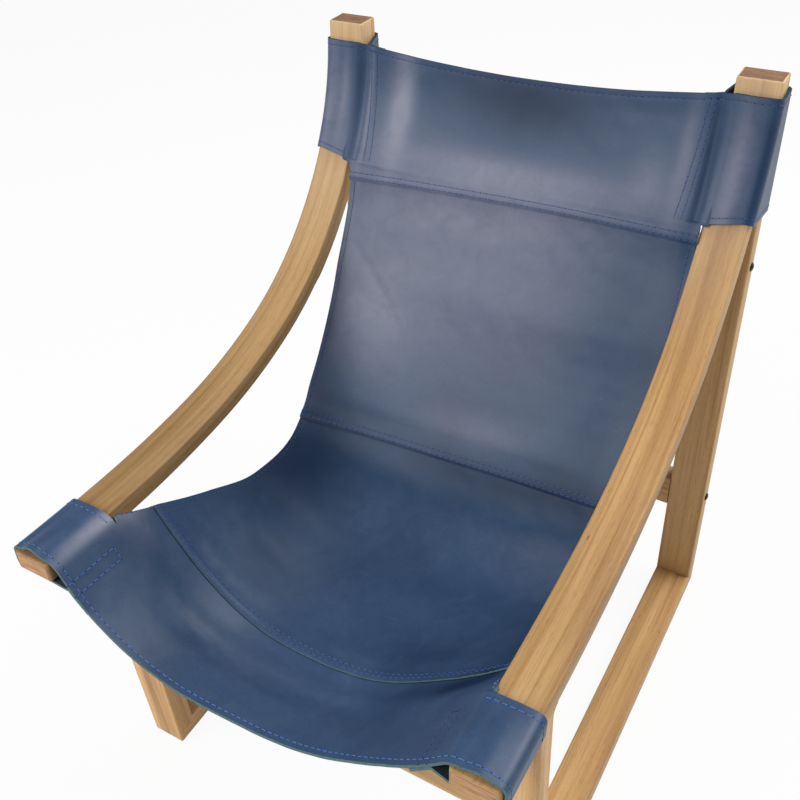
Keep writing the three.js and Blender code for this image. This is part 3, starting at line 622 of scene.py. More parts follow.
pocket_bend, sleeve_bend = 0.024, 0.012
pocket_slack, sleeve_slack = 0.0016, 0.0012
wrap_corner = 0.006
pocket_arches = {"left": 0.0055, "right": 0.0035}
valley_depth = 0.0022
valley_place = 0.2425
valley_width = 0.0065
wave_height = 0.0013
ripple_height = 0.00022
groove_depth = 0.00015
groove_width = 0.0013
grid_step = 0.0045
fine_step = 0.0015
least_step = 0.0004
fine_band = (0.211, 0.242)
near_band = (0.209, 0.2435)
row_inset = 0.007
rear_row_inset = 0.008
lap_insets = (0.005, 0.012)
mouth_steps = np.array([0.0004, 0.0012, 0.0025, 0.0045, 0.007, 0.010, 0.014])
return_shares = (0.945, 0.93, 0.915, 0.9, 0.885, 0.865, 0.85)
upright_groove_end, upright_stitch_end = 0.86, 0.84
calm_from, calm_at = 0.195, 0.238
edge_break = 0.00045
upright_rows = {"pocket": ((0.229, 0.229), (0.220, 0.220)), "sleeve": ((0.236, 0.226), (0.2285, 0.217))}

leather_colour = (0.033, 0.068, 0.140)
leather_light = (0.049, 0.089, 0.168)
leather_dark = (0.024, 0.052, 0.113)
raw_edge_colour = (0.085, 0.165, 0.17)
dyed_edge_colour = (0.014, 0.034, 0.055)
# Colour of painted highlights and sheen, and of rubbed wax at the bends.
highlight_and_rubbed_colour = (0.170, 0.185, 0.260)
# Colour of painted shade.
painted_shade_colour = (0.008, 0.021, 0.056)
flesh_colour = (0.022, 0.038, 0.065)
# Spots of painted light and shade, each x, y, z, across, along and strength: above zero a painted highlight
# and sheen, at the bends also paler rubbed wax, below zero painted shade, as in the bowl, behind the laps and
# beside the sleeves.
painted_light_spots = [(-0.247, -0.262, 0.466, 0.010, 0.034, 1.30), (-0.252, -0.315, 0.455, 0.008, 0.055, 1.00),
             (-0.222, -0.258, 0.440, 0.026, 0.028, 0.30), (-0.196, -0.202, 0.360, 0.009, 0.013, 0.24),
             (0.300, -0.330, 0.470, 0.005, 0.050, 0.40), (0.180, 0.025, 0.325, 0.080, 0.080, 0.22),
             (0.000, -0.030, 0.300, 0.090, 0.060, 0.07), (-0.100, 0.240, 0.580, 0.300, 0.150, 0.58),
             (-0.170, 0.190, 0.490, 0.070, 0.080, 0.38), (-0.040, 0.275, 0.640, 0.160, 0.040, 0.42),
             (0.030, 0.123, 0.389, 0.090, 0.030, 0.34), (0.170, 0.217, 0.536, 0.065, 0.110, -0.26),
             (-0.185, 0.327, 0.755, 0.017, 0.070, 1.20), (0.000, 0.298, 0.692, 0.170, 0.022, 0.55),
             (0.175, 0.313, 0.715, 0.024, 0.034, 0.34), (0.212, 0.345, 0.750, 0.010, 0.080, 0.50),
             (-0.010, 0.348, 0.775, 0.130, 0.050, -0.80), (-0.294, 0.360, 0.730, 0.014, 0.110, 0.75),
             (-0.272, 0.365, 0.750, 0.006, 0.060, 0.90), (-0.253, 0.350, 0.735, 0.006, 0.110, -0.70),
             (-0.233, 0.345, 0.735, 0.004, 0.100, 0.50), (0.276, 0.377, 0.723, 0.016, 0.110, 0.90),
             (0.240, 0.350, 0.735, 0.008, 0.110, -0.65), (0.303, 0.365, 0.725, 0.005, 0.110, -0.80),
             (0.313, 0.385, 0.725, 0.004, 0.110, 0.35), (-0.205, 0.010, 0.330, 0.100, 0.100, -0.90),
             (0.192, -0.252, 0.400, 0.050, 0.024, -1.00), (0.148, -0.259, 0.363, 0.050, 0.022, -0.55),
             (0.120, -0.185, 0.325, 0.100, 0.030, -0.45), (-0.178, -0.210, 0.348, 0.009, 0.011, 0.24),
             (-0.156, -0.215, 0.334, 0.009, 0.010, 0.24), (-0.090, -0.290, 0.322, 0.090, 0.035, 0.10),
             (0.090, -0.330, 0.362, 0.085, 0.030, -0.30), (0.178, 0.088, 0.362, 0.100, 0.038, -0.80),
             (0.030, 0.082, 0.350, 0.100, 0.034, -0.55), (-0.150, -0.150, 0.318, 0.045, 0.040, -0.35),
             (0.060, -0.060, 0.290, 0.160, 0.060, -0.12), (0.225, -0.240, 0.425, 0.024, 0.024, -1.00)]


def smoothstep(value, low, high):
    """Zero below low, one above high, and 3t^2 - 2t^3 between."""
    t = np.clip((np.asarray(value, float) - low) / (high - low), 0, 1)
    return t * t * (3 - 2 * t)


def smooth_table(places, values):
    """Smooth curve through a table with no overshoot: cubic pieces whose end slopes are harmonic means."""
    places, values = np.array(places, float), np.array(values, float)
    steps = np.diff(places)
    slopes = np.diff(values) / steps
    before, after = np.concatenate([slopes[:1], slopes]), np.concatenate([slopes, slopes[-1:]])
    total = np.where(before * after > 0, before + after, 1)
    tangents = np.where(before * after > 0, 2 * before * after / total, 0)

    def curve(place):
        place = np.clip(np.asarray(place, float), places[0], places[-1])
        index = np.clip(np.searchsorted(places, place, side="right") - 1, 0, len(steps) - 1)
        t = (place - places[index]) / steps[index]
        rise = (values[index + 1] - values[index]) * t * t * (3 - 2 * t)
        leaving = tangents[index] * t * (1 - t) ** 2
        arriving = tangents[index + 1] * t * t * (1 - t)
        return values[index] + rise + steps[index] * (leaving - arriving)

    return curve


side_drop_at = smooth_table(side_drop_places, side_drop_shares)
middle_sag_at = smooth_table(middle_sag_places, middle_sag_shares)


def line_share(across, line):
    """Place along the rail of a sling line: 0 is the front edge, 1 to 3 the seams and 4 the top edge.

    Each seam has a place, a bow that fades at the sides and a skew; between seams they are mixed.
    """
    across, line = np.broadcast_arrays(np.asarray(across, float), np.asarray(line, float))
    span = np.clip(np.floor(line), 0, len(seam_places) - 2).astype(int)

    def seam(number):
        corner = np.where(number == 0, front_corner * across ** 6, 0)
        bowed = seam_places[number] + seam_bows[number] * (1 - across ** 2)
        return bowed + seam_skews[number] * across + corner

    return seam(span) + (seam(span + 1) - seam(span)) * (line - span)


def per_side(across, values):
    """The left or the right value, by the side of the middle."""
    return np.where(np.asarray(across) < 0, values["left"], values["right"])


def wrap_distances(across, place):
    """How far a place lies behind its side's pocket, and how far before its sleeve."""
    pocket, sleeve = (per_side(across, {name: line_share(side, line) for name, side in sides.items()})
                      for line in (pocket_end, sleeve_start))
    return place - pocket, sleeve - place


def sunk_share(across, place):
    """One where the leather lies as low as in a pocket or sleeve; it eases to zero along the free edge."""
    behind_pocket, before_sleeve = wrap_distances(across, place)
    sunk = 1 - smoothstep(behind_pocket, 0, pocket_easing / rail_length)
    return sunk + 1 - smoothstep(before_sleeve, 0, sleeve_easing / rail_length)


def wrap_share(across, place):
    """One in a side's pocket and sleeve, zero along its free edge, and a quarter ellipse between."""
    corner = per_side(across, corner_radii) / rail_length

    def fillet(distance):
        t = np.clip(distance / corner, 0, 1)
        return 1 - np.sqrt(1 - (1 - t) ** 2)

    behind_pocket, before_sleeve = wrap_distances(across, place)
    return fillet(behind_pocket) + fillet(before_sleeve)


def sling_section(place):
    """The sling's section at one place: roundness, lopsidedness, and depths of its edges and middle."""
    towards_back = smoothstep(place, 0, back_start)
    roundness = seat_roundness + (back_roundness - seat_roundness) * towards_back
    skew = seat_skew + (back_skew - seat_skew) * towards_back
    edge = side_drop * side_drop_at(place)
    return roundness, skew, edge, edge + middle_sag * middle_sag_at(place)


def leave_angle(side, place):
    """Angle at which the leather leaves the top of a rail towards the middle."""
    roundness, skew, edge, middle = sling_section(place)
    return np.arctan((middle - edge) * roundness * (1 - 2 * skew * side) / inner_half)


def soft_bend(place):
    """Bend over the rail's inner top edge: its radius, the slack over the rail, and its centre's x.

    The centre is as far out as lets a circle of that radius just clear the wood's rounded edge.
    """
    bend = np.where(place < back_start, pocket_bend, sleeve_bend)
    slack = np.where(place < back_start, pocket_slack, sleeve_slack)
    reach, rise = bend - wood_edge - leather_gap, bend - slack - wood_edge
    return bend, slack, inner_half + wood_edge + np.sqrt(reach ** 2 - rise ** 2)


def upright_row(kind, number, line):
    """Distance from the middle of an upright stitch row, which may lean from its top to its mouth."""
    top, mouth = upright_rows[kind][number]
    share = np.clip((line - sleeve_start) / (head_number + 1 - sleeve_start), 0, 1)
    return mouth + (top - mouth) * share


def sling_point(across, line):
    """Top surface of the sling: a rounded trough hung between the rails, measured down from the rail line.

    Beside the sleeves a shallow valley runs where the leather is drawn back to its stitch rows.
    """
    across, line = np.broadcast_arrays(np.asarray(across, float), np.asarray(line, float))
    place = line_share(across, line)
    roundness, skew, edge, middle = sling_section(place)
    wrap, sunk = wrap_share(across, place), sunk_share(across, place)
    leave = leave_angle(per_side(across, sides), place)
    bend, slack, bend_x = soft_bend(place)
    outer_bend = bend + leather_thickness
    free_half = per_side(across, free_halves)
    widening = bend_x - outer_bend * np.sin(leave) - free_half
    edge_depth = edge + sunk * (bend - slack - outer_bend * np.cos(leave))
    x = (free_half + widening * wrap) * across
    across = x / (free_half + widening * sunk)
    valley = np.exp(-((np.abs(x) - valley_place) / valley_width) ** 2) * wrap * (place > back_start)
    depth = middle + (edge_depth - middle) * np.abs(across + skew * (1 - across ** 2)) ** roundness
    return in_space(x, rail_point(place, depth + valley_depth * valley))


def overlap_share(panel, length):
    """A length along a panel as a share of it."""
    return length / (rail_length * (seam_places[panel + 1] - seam_places[panel]))


def past_seam(panel, line):
    """Distance behind a panel's visible front edge."""
    return (line - panel) / overlap_share(panel, 1.0)


def hidden_thinning(panel, line):
    """How much thinner a panel is pared where the next one lies on it, most at its hidden edge."""
    if panel == head_number:
        return np.zeros_like(line)
    return hidden_paring * smoothstep(past_seam(panel + 1, line), paring_start, seam_overlap)


def seam_raise(panel, line):
    """A panel that lies on the one before it is raised there by that leather, and eases down after it.

    Its own hidden edge sinks a little under the next panel.
    """
    sunk = hidden_thinning(panel, line) * hidden_sinking / hidden_paring
    if panel == 0:
        return -sunk
    raised = leather_thickness + leather_gap - hidden_thinning(panel - 1, line)
    return raised * (1 - smoothstep(past_seam(panel, line), seam_overlap, seam_overlap + seam_ramp)) - sunk


def unit(vectors):
    """Vectors of length one along the given ones."""
    return vectors / np.maximum(np.linalg.norm(vectors, axis=-1, keepdims=True), 1e-12)


def grid_normals(points):
    """Unit normals of a grid: cross product of its steps across and along."""
    return unit(np.cross(np.gradient(points, axis=1), np.gradient(points, axis=0)))


def under_panel(side, line, share):
    """Where the returning leather lies against the underside of the panel."""
    step = 0.002
    point = sling_point(side * share, line)
    aside = sling_point(side * share + step, line) - sling_point(side * share - step, line)
    along = sling_point(side * share, line + step) - sling_point(side * share, line - step)
    return point - unit(np.cross(aside, along)) * (leather_thickness + leather_gap)


def wrap_keys(side, line, wood_at, arch):
    """Inner face of the leather that goes round the wood, from the sling's edge back to its underside.

    Each bend is a circle about a centre inside a corner of the wood: centre + radius (a cos t + b sin t),
    where a and b are the ways before and after it. Stretches between bends are straight, and the one on
    top is arched by arch sin^2.
    """
    aside = np.array([side, 0.0, 0.0])
    place = line_share(side, line)
    leave = leave_angle(side, place)
    bend, slack, bend_x = soft_bend(place)
    near, far = inner_half + wrap_corner, outer_half - wrap_corner
    quarter = math.pi / 2
    rows = []

    def ways_at(reach, outwards=0):
        front, inward, back, backward = wood_at(reach, outwards)
        up, down = (np.stack([np.zeros_like(line), *way.T], -1) for way in (-inward, backward))
        return front, back, {"out": aside, "in": -aside, "up": up, "down": down}

    def top_bend(x, inset, radius, end, angle, reach, outwards):
        front, back, ways = ways_at(reach, outwards)
        centre = in_space(side * x, front) - ways["up"] * inset[..., None]
        angle = np.broadcast_to(angle, line.shape)[..., None]
        return centre + radius[..., None] * (ways["up"] * np.cos(angle) + ways[end] * np.sin(angle))

    def low_bend(x, start, end, angle, reach):
        front, back, ways = ways_at(reach)
        centre = in_space(side * x, back) - ways["down"] * wrap_corner
        angle = np.broadcast_to(angle, line.shape)[..., None]
        radius = (wrap_corner + slack)[..., None]
        return centre + radius * (ways[start] * np.cos(angle) + ways[end] * np.sin(angle))

    def straight(end, steps, rise=0.0):
        start, up = rows[-1], ways_at(0)[2]["up"]
        for k in range(1, steps):
            arched = np.asarray(rise)[..., None] * math.sin(math.pi * k / steps) ** 2
            rows.append(start + (end - start) * k / steps + up * arched)

    rows.extend(top_bend(bend_x, bend - slack, bend, "in", leave * k / 8, 0, 0) for k in range(7, -1, -1))
    corner = np.full_like(slack, wrap_corner)
    outer_top = [top_bend(far, corner, corner + slack, "out", quarter * k / 8, max(0, k / 8 - 0.5) * 0.6, 1)
                 for k in range(9)]
    straight(outer_top[0], 14, arch)
    rows.extend(outer_top)
    outer_low = [low_bend(far, "out", "down", quarter * k / 6, min(1, 0.8 + 0.4 * k / 6)) for k in range(7)]
    straight(outer_low[0], 7)
    rows.extend(outer_low)
    straight(low_bend(near, "down", "in", 0.0, 1), 10)

    touch = under_panel(side, line, return_shares[0])
    front, back, ways = ways_at(1)
    reach_out = touch - (in_space(side * near, back) - ways["down"] * wrap_corner)
    inwards, downwards = reach_out @ ways["in"], (reach_out * ways["down"]).sum(-1)
    straight_part = np.arccos(np.minimum(1, (wrap_corner + slack) / np.hypot(inwards, downwards)))
    leaving = np.maximum(0, np.arctan2(inwards, downwards) - straight_part)
    rows.extend(low_bend(near, "down", "in", leaving * k / 4, 1) for k in range(5))
    straight(touch, 6)
    rows.extend(under_panel(side, line, share) for share in return_shares)
    return np.stack(rows, 1)


def dense(start, end, step, edges, rows_in):
    """Places between two edges: even steps, closer by the edges and on both sides of each stitch row."""
    near_edge = np.array([0, 0.0008, 0.002, 0.0035])
    beside_row = np.concatenate([np.array([-1, -0.5, 0, 0.5, 1]) * fine_step + r for r in rows_in] or [[]])
    close = np.concatenate([near_edge, beside_row])
    places = [np.linspace(start, end, max(3, int(round((end - start) / step))))]
    places += [start + close] if "start" in edges else []
    places += [end - close] if "end" in edges else []
    places = np.unique(np.concatenate(places).round(6))
    keep = np.concatenate([[True], np.diff(places) > least_step])
    return places[keep]


def panel_lines(panel, start, end, edges, rows_in=()):
    """Lines of a panel from one line to another, from distances in metres."""
    length = 1 / overlap_share(panel, 1.0)
    return start + dense(0, (end - start) * length, grid_step, edges, rows_in) / length


half_places = dense(0, inner_half, grid_step, ("end",), (row_inset,))
outside = (half_places < near_band[0]) | (half_places > near_band[1])
half_places = np.unique(np.concatenate([half_places[outside], np.arange(*fine_band, fine_step)]))
columns_across = np.concatenate([-half_places[:0:-1], half_places]) / inner_half


def panel_inner(panel, lines):
    """Inner face of a panel between its side edges."""
    top = sling_point(columns_across[None, :], lines[:, None])
    raised = seam_raise(panel, lines)[:, None, None]
    return top + grid_normals(top) * (raised - leather_thickness)


def runs(points):
    """Distance of each grid point from the first row, along its column."""
    steps = np.linalg.norm(np.diff(points, axis=0), axis=-1)
    return np.concatenate([np.zeros((1, points.shape[1])), np.cumsum(steps, 0)])


def waves(points, seed, count, shortest, longest):
    """Unevenness up to about one: a sum of sine waves with seeded directions, lengths and phases."""
    random = np.random.default_rng(seed)
    total = np.zeros(points.shape[:-1])
    for _ in range(count):
        direction = random.normal(size=3)
        direction /= np.linalg.norm(direction)
        length = math.exp(random.uniform(math.log(shortest), math.log(longest)))
        total += np.sin(points @ direction * 2 * math.pi / length + random.uniform(0, 2 * math.pi)) * length
    return total / (longest * math.sqrt(count / 2))


def uneven(points):
    """Displacement of hanging leather: long waves and small ripples that fade towards the wood."""
    fade = 1 - smoothstep(np.abs(points[..., 0]), calm_from, calm_at)
    long_waves = waves(points, 5, 9, 0.11, 0.26) * wave_height
    ripples = waves(points, 8, 16, 0.018, 0.05) * ripple_height
    return fade * (long_waves + ripples)


def visible_thinning(from_start):
    """The visible edge of a lap is pared a little, so that it lies close to the panel under it."""
    return edge_paring * (1 - smoothstep(from_start, 0, paring_start))


def groove(distance):
    """How deep a stitch row draws the surface in, at a distance from the row."""
    return groove_depth * np.exp(-(distance / groove_width) ** 2)


def painted_light_of_spots(points):
    """Painted light and shade on the leather: above zero painted highlight and sheen, also rubbed wax at the
    bends, below zero painted shade; a sum of spots s e^(-a^2 - b^2), across and along.
    """
    total = np.zeros(points.shape[:-1])
    for x, y, z, across, along, strength in painted_light_spots:
        apart = np.hypot(points[..., 1] - y, points[..., 2] - z) / along
        total += strength * np.exp(-((points[..., 0] - x) / across) ** 2 - apart ** 2)
    return total


def hang(node, middle):
    """A panel's cut size from its longest runs, which nothing uses; the imported node is hidden."""
    flat = float(runs(middle.swapaxes(0, 1))[-1].max()), float(runs(middle)[-1].max())
    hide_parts(node)


def leather_sheet(name, node, inner, present, grooves, edge_material):
    """A sheet from a grid of inner points: its outer face lies one thickness out, less the grooves.

    A cell is there when its four corners are, and the cut edge is a strip between the two faces.
    """
    rows, columns = present.shape
    inner = inner + grid_normals(inner) * uneven(inner)[..., None]
    outer = inner + grid_normals(inner) * (leather_thickness - grooves)[..., None]
    cells = present[:-1, :-1] & present[1:, :-1] & present[:-1, 1:] & present[1:, 1:]
    r, c = np.nonzero(cells)
    a, b, d, e = r * columns + c, r * columns + c + 1, (r + 1) * columns + c + 1, (r + 1) * columns + c
    under = rows * columns
    padded = np.pad(cells, 1)
    strips = []
    for start, end, dr, dc in ((a, b, -1, 0), (b, d, 0, 1), (d, e, 1, 0), (e, a, 0, -1)):
        free = ~padded[r + 1 + dr, c + 1 + dc]
        strips.append(np.stack([start[free], start[free] + under, end[free] + under, end[free]], -1))
    edge = np.concatenate(strips)
    faces = np.concatenate([np.stack([a, b, d, e], -1), np.stack([a, e, d, b], -1) + under, edge])
    kinds = np.repeat([0, 2, 1], [len(a), len(a), len(edge)])
    used, numbers = np.unique(faces, return_inverse=True)
    points = np.concatenate([outer.reshape(-1, 3), inner.reshape(-1, 3)])[used]
    faces = numbers.reshape(-1, 4)
    corners = points[faces]
    halves = (np.cross(corners[:, i], corners[:, i + 1]) * corners[:, 0] for i in (1, 2))
    if sum(half.sum() for half in halves) < 0:
        faces = faces[:, ::-1]
    piece = new_piece(name, points, faces.tolist(), [leather, edge_material, flesh_side], None, kinds, 60)
    # Painted light and shade of the spots, kept on the points for the leather's material.
    wear_and_light = piece.data.attributes.new("wear_and_light", "FLOAT", "POINT")
    wear_and_light.data.foreach_set("value", painted_light_of_spots(points).astype(np.float32))
    bevel = piece.modifiers.new("broken_edge", "BEVEL")
    bevel.width, bevel.segments = edge_break, 2
    bevel.limit_method, bevel.angle_limit = "ANGLE", math.radians(55)
    hang(node, (outer + inner) / 2)
    return outer


def waxed_leather(name):
    """Waxed leather: clouded tone, painted highlights (also rubbed wax) and painted shade from the spots'
    attribute, which also sets the gloss, and pebbled grain.
    """
    material, make = new_material(name)
    place = object_place(make)
    clouds = stretched_noise(make, place, (5, 5, 5), 5.0, 0.6, 0.4)
    smudges = stretched_noise(make, place, (34, 34, 34), 6.0, 0.65, 0.8)
    specks = stretched_noise(make, place, (420, 420, 420), 3.0, 0.6)
    hair_lines = stretched_noise(make, place, (22, 300, 110), 2.0, 0.5, 1.2)
    pebble = make("TexVoronoi", {"Vector": place, "Scale": 950.0}, feature="SMOOTH_F1").outputs["Distance"]
    fine = stretched_noise(make, place, (1700, 1700, 1700), 3.0)
    tone = ramp(make, clouds, [(0.30, leather_dark), (0.50, leather_colour), (0.74, leather_light)])
    smudged = ramp(make, smudges, [(0.28, (0.84, 0.86, 0.89)), (0.55, 1.0), (0.80, (1.22, 1.17, 1.10))])
    specked = ramp(make, specks, [(0.30, (0.86, 0.88, 0.91)), (0.52, 1.0), (0.75, (1.12, 1.10, 1.07))])
    coloured = tinted(make, tone, smudged, specked)
    lines = rescaled(make, hair_lines, 0.70, 0.80, 0.0, 0.35)
    coloured = blend(make, "MIX", lines, coloured, tuple(c * 1.7 for c in leather_light))
    # Above zero the spots mix in a painted highlight and sheen, below zero painted shade.
    wear_and_light = make("Attribute", attribute_name="wear_and_light").outputs["Fac"]
    highlight_and_rubbed = combine(make, "MULTIPLY", wear_and_light, rescaled(make, smudges, 0.25, 0.75, 0.65, 1.35))
    coloured = blend(make, "MIX", rescaled(make, highlight_and_rubbed, 0, 1), coloured, highlight_and_rubbed_colour)
    coloured = blend(make, "MIX", rescaled(make, wear_and_light, 0, -1), coloured, painted_shade_colour)
    grained = bumped(make, combine(make, "ADD", pebble, fine), 0.20, 0.0003)
    inputs = {"Base Color": coloured, "Roughness": rescaled(make, smudges, 0, 1, 0.36, 0.50),
              "Normal": bumped(make, smudges, 0.10, 0.003, Normal=grained),
              "Specular IOR Level": rescaled(make, wear_and_light, -1, 1, 0.12, 0.50)}
    return finished(material, make, inputs)


def raw_leather(name, colour, scale):
    """Cut or flesh side of the leather: matt, fibrous and mottled."""
    material, make = new_material(name)
    fibres = make("TexNoise", {"Vector": object_place(make), "Scale": scale, "Detail": 4.0}).outputs["Fac"]
    inputs = {"Base Color": shaded(make, fibres, colour, 0.62, 1.25), "Roughness": 0.85,
              "Normal": bumped(make, fibres, 0.4, 0.0003)}
    return finished(material, make, inputs)


leather = waxed_leather("waxed_leather")
raw_edge = raw_leather("raw_leather_edge", raw_edge_colour, 600.0)
dyed_edge = raw_leather("dyed_leather_edge", dyed_edge_colour, 600.0)
flesh_side = raw_leather("leather_flesh_side", flesh_colour, 350.0)


def wrapped_grid(panel, wrapped_lines, free_lines, wood_for, wrap_first, arches):
    """Grid of a panel that wraps both rails in some of its rows, and a mask of the points that exist."""
    groups = [wrapped_lines, free_lines] if wrap_first else [free_lines, wrapped_lines]
    lines = np.concatenate(groups)
    is_wrapped = np.concatenate([np.full(len(group), group is wrapped_lines) for group in groups])
    first = 0 if wrap_first else len(free_lines)
    nearest = np.clip(np.arange(len(lines)) - first, 0, len(wrapped_lines) - 1)
    ends = {}
    for name, side in sides.items():
        def wood_at(reach, outwards, side=side):
            return wood_for(side, wrapped_lines, reach, outwards)
        ends[name] = wrap_keys(side, wrapped_lines, wood_at, arches[name])[nearest]
    keys = ends["left"].shape[1]
    grid = np.concatenate([ends["left"][:, ::-1], panel_inner(panel, lines), ends["right"]], 1)
    present = np.ones(grid.shape[:2], bool)
    present[~is_wrapped, :keys] = False
    present[~is_wrapped, -keys:] = False
    return grid, present, lines, keys


def pocket_wood(side, lines, reach, outwards):
    """The rail inside a pocket: front and back face. Below, the pocket's end stops short of the leg."""
    start, end_above = line_share(side, 0.0), line_share(side, pocket_end)
    end_below = (front_leg_setback - pocket_leg_clearance) / rail_length
    share = start + (end_above + (end_below - end_above) * reach - start) * lines / pocket_end
    back = rail_point(share, np.full_like(share, rail_thickness))
    return rail_point(share), rail_inward(share), back, rail_inward(share)


def upright_grooves(kind, inner, lines):
    """Grooves of the double upright rows, from the distance between each point and the row's x."""
    beside = np.abs(inner[..., 0])
    return sum(groove(beside - upright_row(kind, number, lines)[:, None]) for number in (0, 1))


front_end_line = 1 + overlap_share(1, seam_overlap)
pocket_lines = panel_lines(0, 0, pocket_end, ("start", "end"), (row_inset,))
behind_pocket = pocket_end + overlap_share(0, mouth_steps)
rest_of_front = panel_lines(0, behind_pocket[-1] + overlap_share(0, grid_step), front_end_line, ("end",))
pocket_arch = {name: height * (1.15 - pocket_lines / pocket_end) for name, height in pocket_arches.items()}
front_inner, front_present, front_lines, wrap_columns = wrapped_grid(
    0, pocket_lines, np.concatenate([behind_pocket, rest_of_front]), pocket_wood, True, pocket_arch)
panel_columns = np.zeros(front_inner.shape[1], bool)
panel_columns[wrap_columns:-wrap_columns] = True


def side_grooves(inner, edge_column, first, last):
    """Groove along both free side edges of a panel, from its first to its last free row."""
    depth = np.zeros(inner.shape[:2])
    for way in (1, -1):
        from_edge = runs(inner[:, ::way][:, edge_column:].swapaxes(0, 1)).T
        depth[:, ::way][first:last, edge_column:] += groove(from_edge[first:last] - row_inset)
    return depth


def front_grooves(inner):
    """Grooves of the front edge's row, the pockets' rear rows, their upright rows and the free edges."""
    from_start = runs(inner)
    to_end = from_start[-1] - from_start
    depth = groove(from_start - row_inset)
    depth += np.where(panel_columns, 0, groove(to_end - rear_row_inset))
    in_pocket = (front_lines <= pocket_end * upright_groove_end)[:, None] & panel_columns
    depth += np.where(in_pocket, upright_grooves("pocket", inner, front_lines), 0)
    depth += hidden_thinning(0, front_lines)[:, None]
    return depth + side_grooves(inner, wrap_columns, len(pocket_lines), len(front_lines))


front_outer = leather_sheet("sling_front", "leather_front_panel", front_inner, front_present,
                            front_grooves(front_inner), raw_edge)


# Seat and back leather panels.
# Plain panels between the rails with raw side edges. Each lies on the panel in front of it along a
# lapped seam with two stitch rows, is raised there, and eases down past the edge hidden under it.
seat_number, back_number = 1, 2
crease_line = np.array([(-0.478, 2.351), (-0.572, 2.438), (-0.668, 2.523), (-0.781, 2.610), (-0.896, 2.703)])
crease_starts, crease_ends = (2.32, 2.42), (2.62, 2.74)
crease_depth = 0.0013
crease_width = 0.005625


def crease(lines):
    """A faint fold low on the left of the back: depth by the distance from a leaning curve."""
    x = columns_across[None, :] * inner_half
    curve_x = np.interp(lines, crease_line[:, 1], crease_line[:, 0])[:, None] * inner_half
    fade = smoothstep(lines, *crease_starts) * (1 - smoothstep(lines, *crease_ends))
    return crease_depth * np.exp(-((x - curve_x) / crease_width) ** 2) * fade[:, None]


def plain_panel(name, node, panel, edge_material):
    """A panel from its seam to the end of its overlap under the next one."""
    end = panel + 1 + overlap_share(panel + 1, seam_overlap)
    lines = panel_lines(panel, panel, end, ("start", "end"), lap_insets)
    inner = panel_inner(panel, lines)
    if panel == back_number:
        inner = inner - grid_normals(inner) * crease(lines)[..., None]
    from_start = runs(inner)
    grooves = sum(groove(from_start - inset) for inset in lap_insets) + side_grooves(inner, 0, 0, len(lines))
    grooves += visible_thinning(from_start) + hidden_thinning(panel, lines)[:, None]
    return leather_sheet(name, node, inner, np.ones(inner.shape[:2], bool), grooves, edge_material)


seat_outer = plain_panel("sling_seat", "leather_seat_panel", seat_number, raw_edge)
back_outer = plain_panel("sling_back", "leather_back_panel", back_number, dyed_edge)


# Head leather panel.
# The top of the back. Its ends wrap the rail and the rear leg behind it as sleeves, come round the back
# of the leg and are closed against the panel by two upright stitch rows.
sleeve_rear_slack = 0.003
sleeve_rear_drop = 0.010
sleeve_mouth_rise = 0.008
sleeve_bulge = 0.0018


def sleeve_wood(side, lines, reach, outwards):
    """The rail in front, up which the mouth rises outwards, and the rear leg, where it hangs lower."""
    mouth = 1 - (lines - sleeve_start) / (head_number + 1 - sleeve_start)
    place = line_share(side, lines)
    height = rail_point(place)[..., 1] - sleeve_rear_drop * mouth
    share = place + outwards * mouth * sleeve_mouth_rise / rail_length
    back = np.stack([rear_leg_back(height) + sleeve_rear_slack, height], -1)
    backward = np.broadcast_to([math.cos(lean), -math.sin(lean)], back.shape)
    return rail_point(share), rail_inward(share), back, backward


head_length = 1 / overlap_share(head_number, 1.0)
sleeve_lines = panel_lines(head_number, sleeve_start, head_number + 1, ("start", "end"), (row_inset,))
below_sleeve = sleeve_start - mouth_steps[::-1] / head_length
head_free_end = below_sleeve[0] - 0.003 / head_length
rest_of_head = panel_lines(head_number, head_number, head_free_end, ("start",), lap_insets)
sleeve_arch = {name: np.full(len(sleeve_lines), sleeve_bulge) for name in sides}
head_inner, head_present, head_lines, wrap_columns = wrapped_grid(
    head_number, sleeve_lines, np.concatenate([rest_of_head, below_sleeve]), sleeve_wood, False, sleeve_arch)


def head_grooves(inner):
    """Grooves of the lap's two rows, the top edge's row, the sleeves' mouths and their upright rows."""
    from_start = runs(inner)
    to_end = from_start[-1] - from_start
    lap = sum(groove(from_start - inset) for inset in lap_insets) + visible_thinning(from_start)
    depth = np.where(panel_columns, lap, groove(from_start - row_inset)) + groove(to_end - row_inset)
    in_sleeve = (head_lines >= sleeve_start)[:, None] & panel_columns
    return depth + np.where(in_sleeve, upright_grooves("sleeve", inner, head_lines), 0)


head_outer = leather_sheet("sling_head", "leather_head_panel", head_inner, head_present,
                           head_grooves(head_inner), dyed_edge)


# Stitching.
# Thick waxed thread in straight saddle stitches, one every 8.6 mm, sunk at each needle hole: double
# rows on the laps and beside the wood, single rows along every free edge.
stitch_pitch = 0.0086
stitch_gap = 0.0024
thread_radius = 0.00050
stitch_stations = 7
thread_sides = 6
hole_radius = 0.00105
hole_sides = 8
hole_crown, hole_depth, hole_sink = 0.00022, 0.0004, 0.00005
thread_lift, thread_sink = 1.7, 0.62
thread_end, bulge_power = 0.45, 0.35
flap = 10
# A lighter copy of the blue thread, for the front edge and the left pocket: painted light.
lit_thread_colour = (0.07, 0.19, 0.56)
blue_thread_colour = (0.035, 0.090, 0.30)
# A darker copy of the blue thread, for the right pocket's upright rows: painted shade.
shaded_thread_colour = (0.014, 0.036, 0.13)
# Dark of the needle holes: painted shade.
hole_shade_colour = (0.006, 0.010, 0.024)


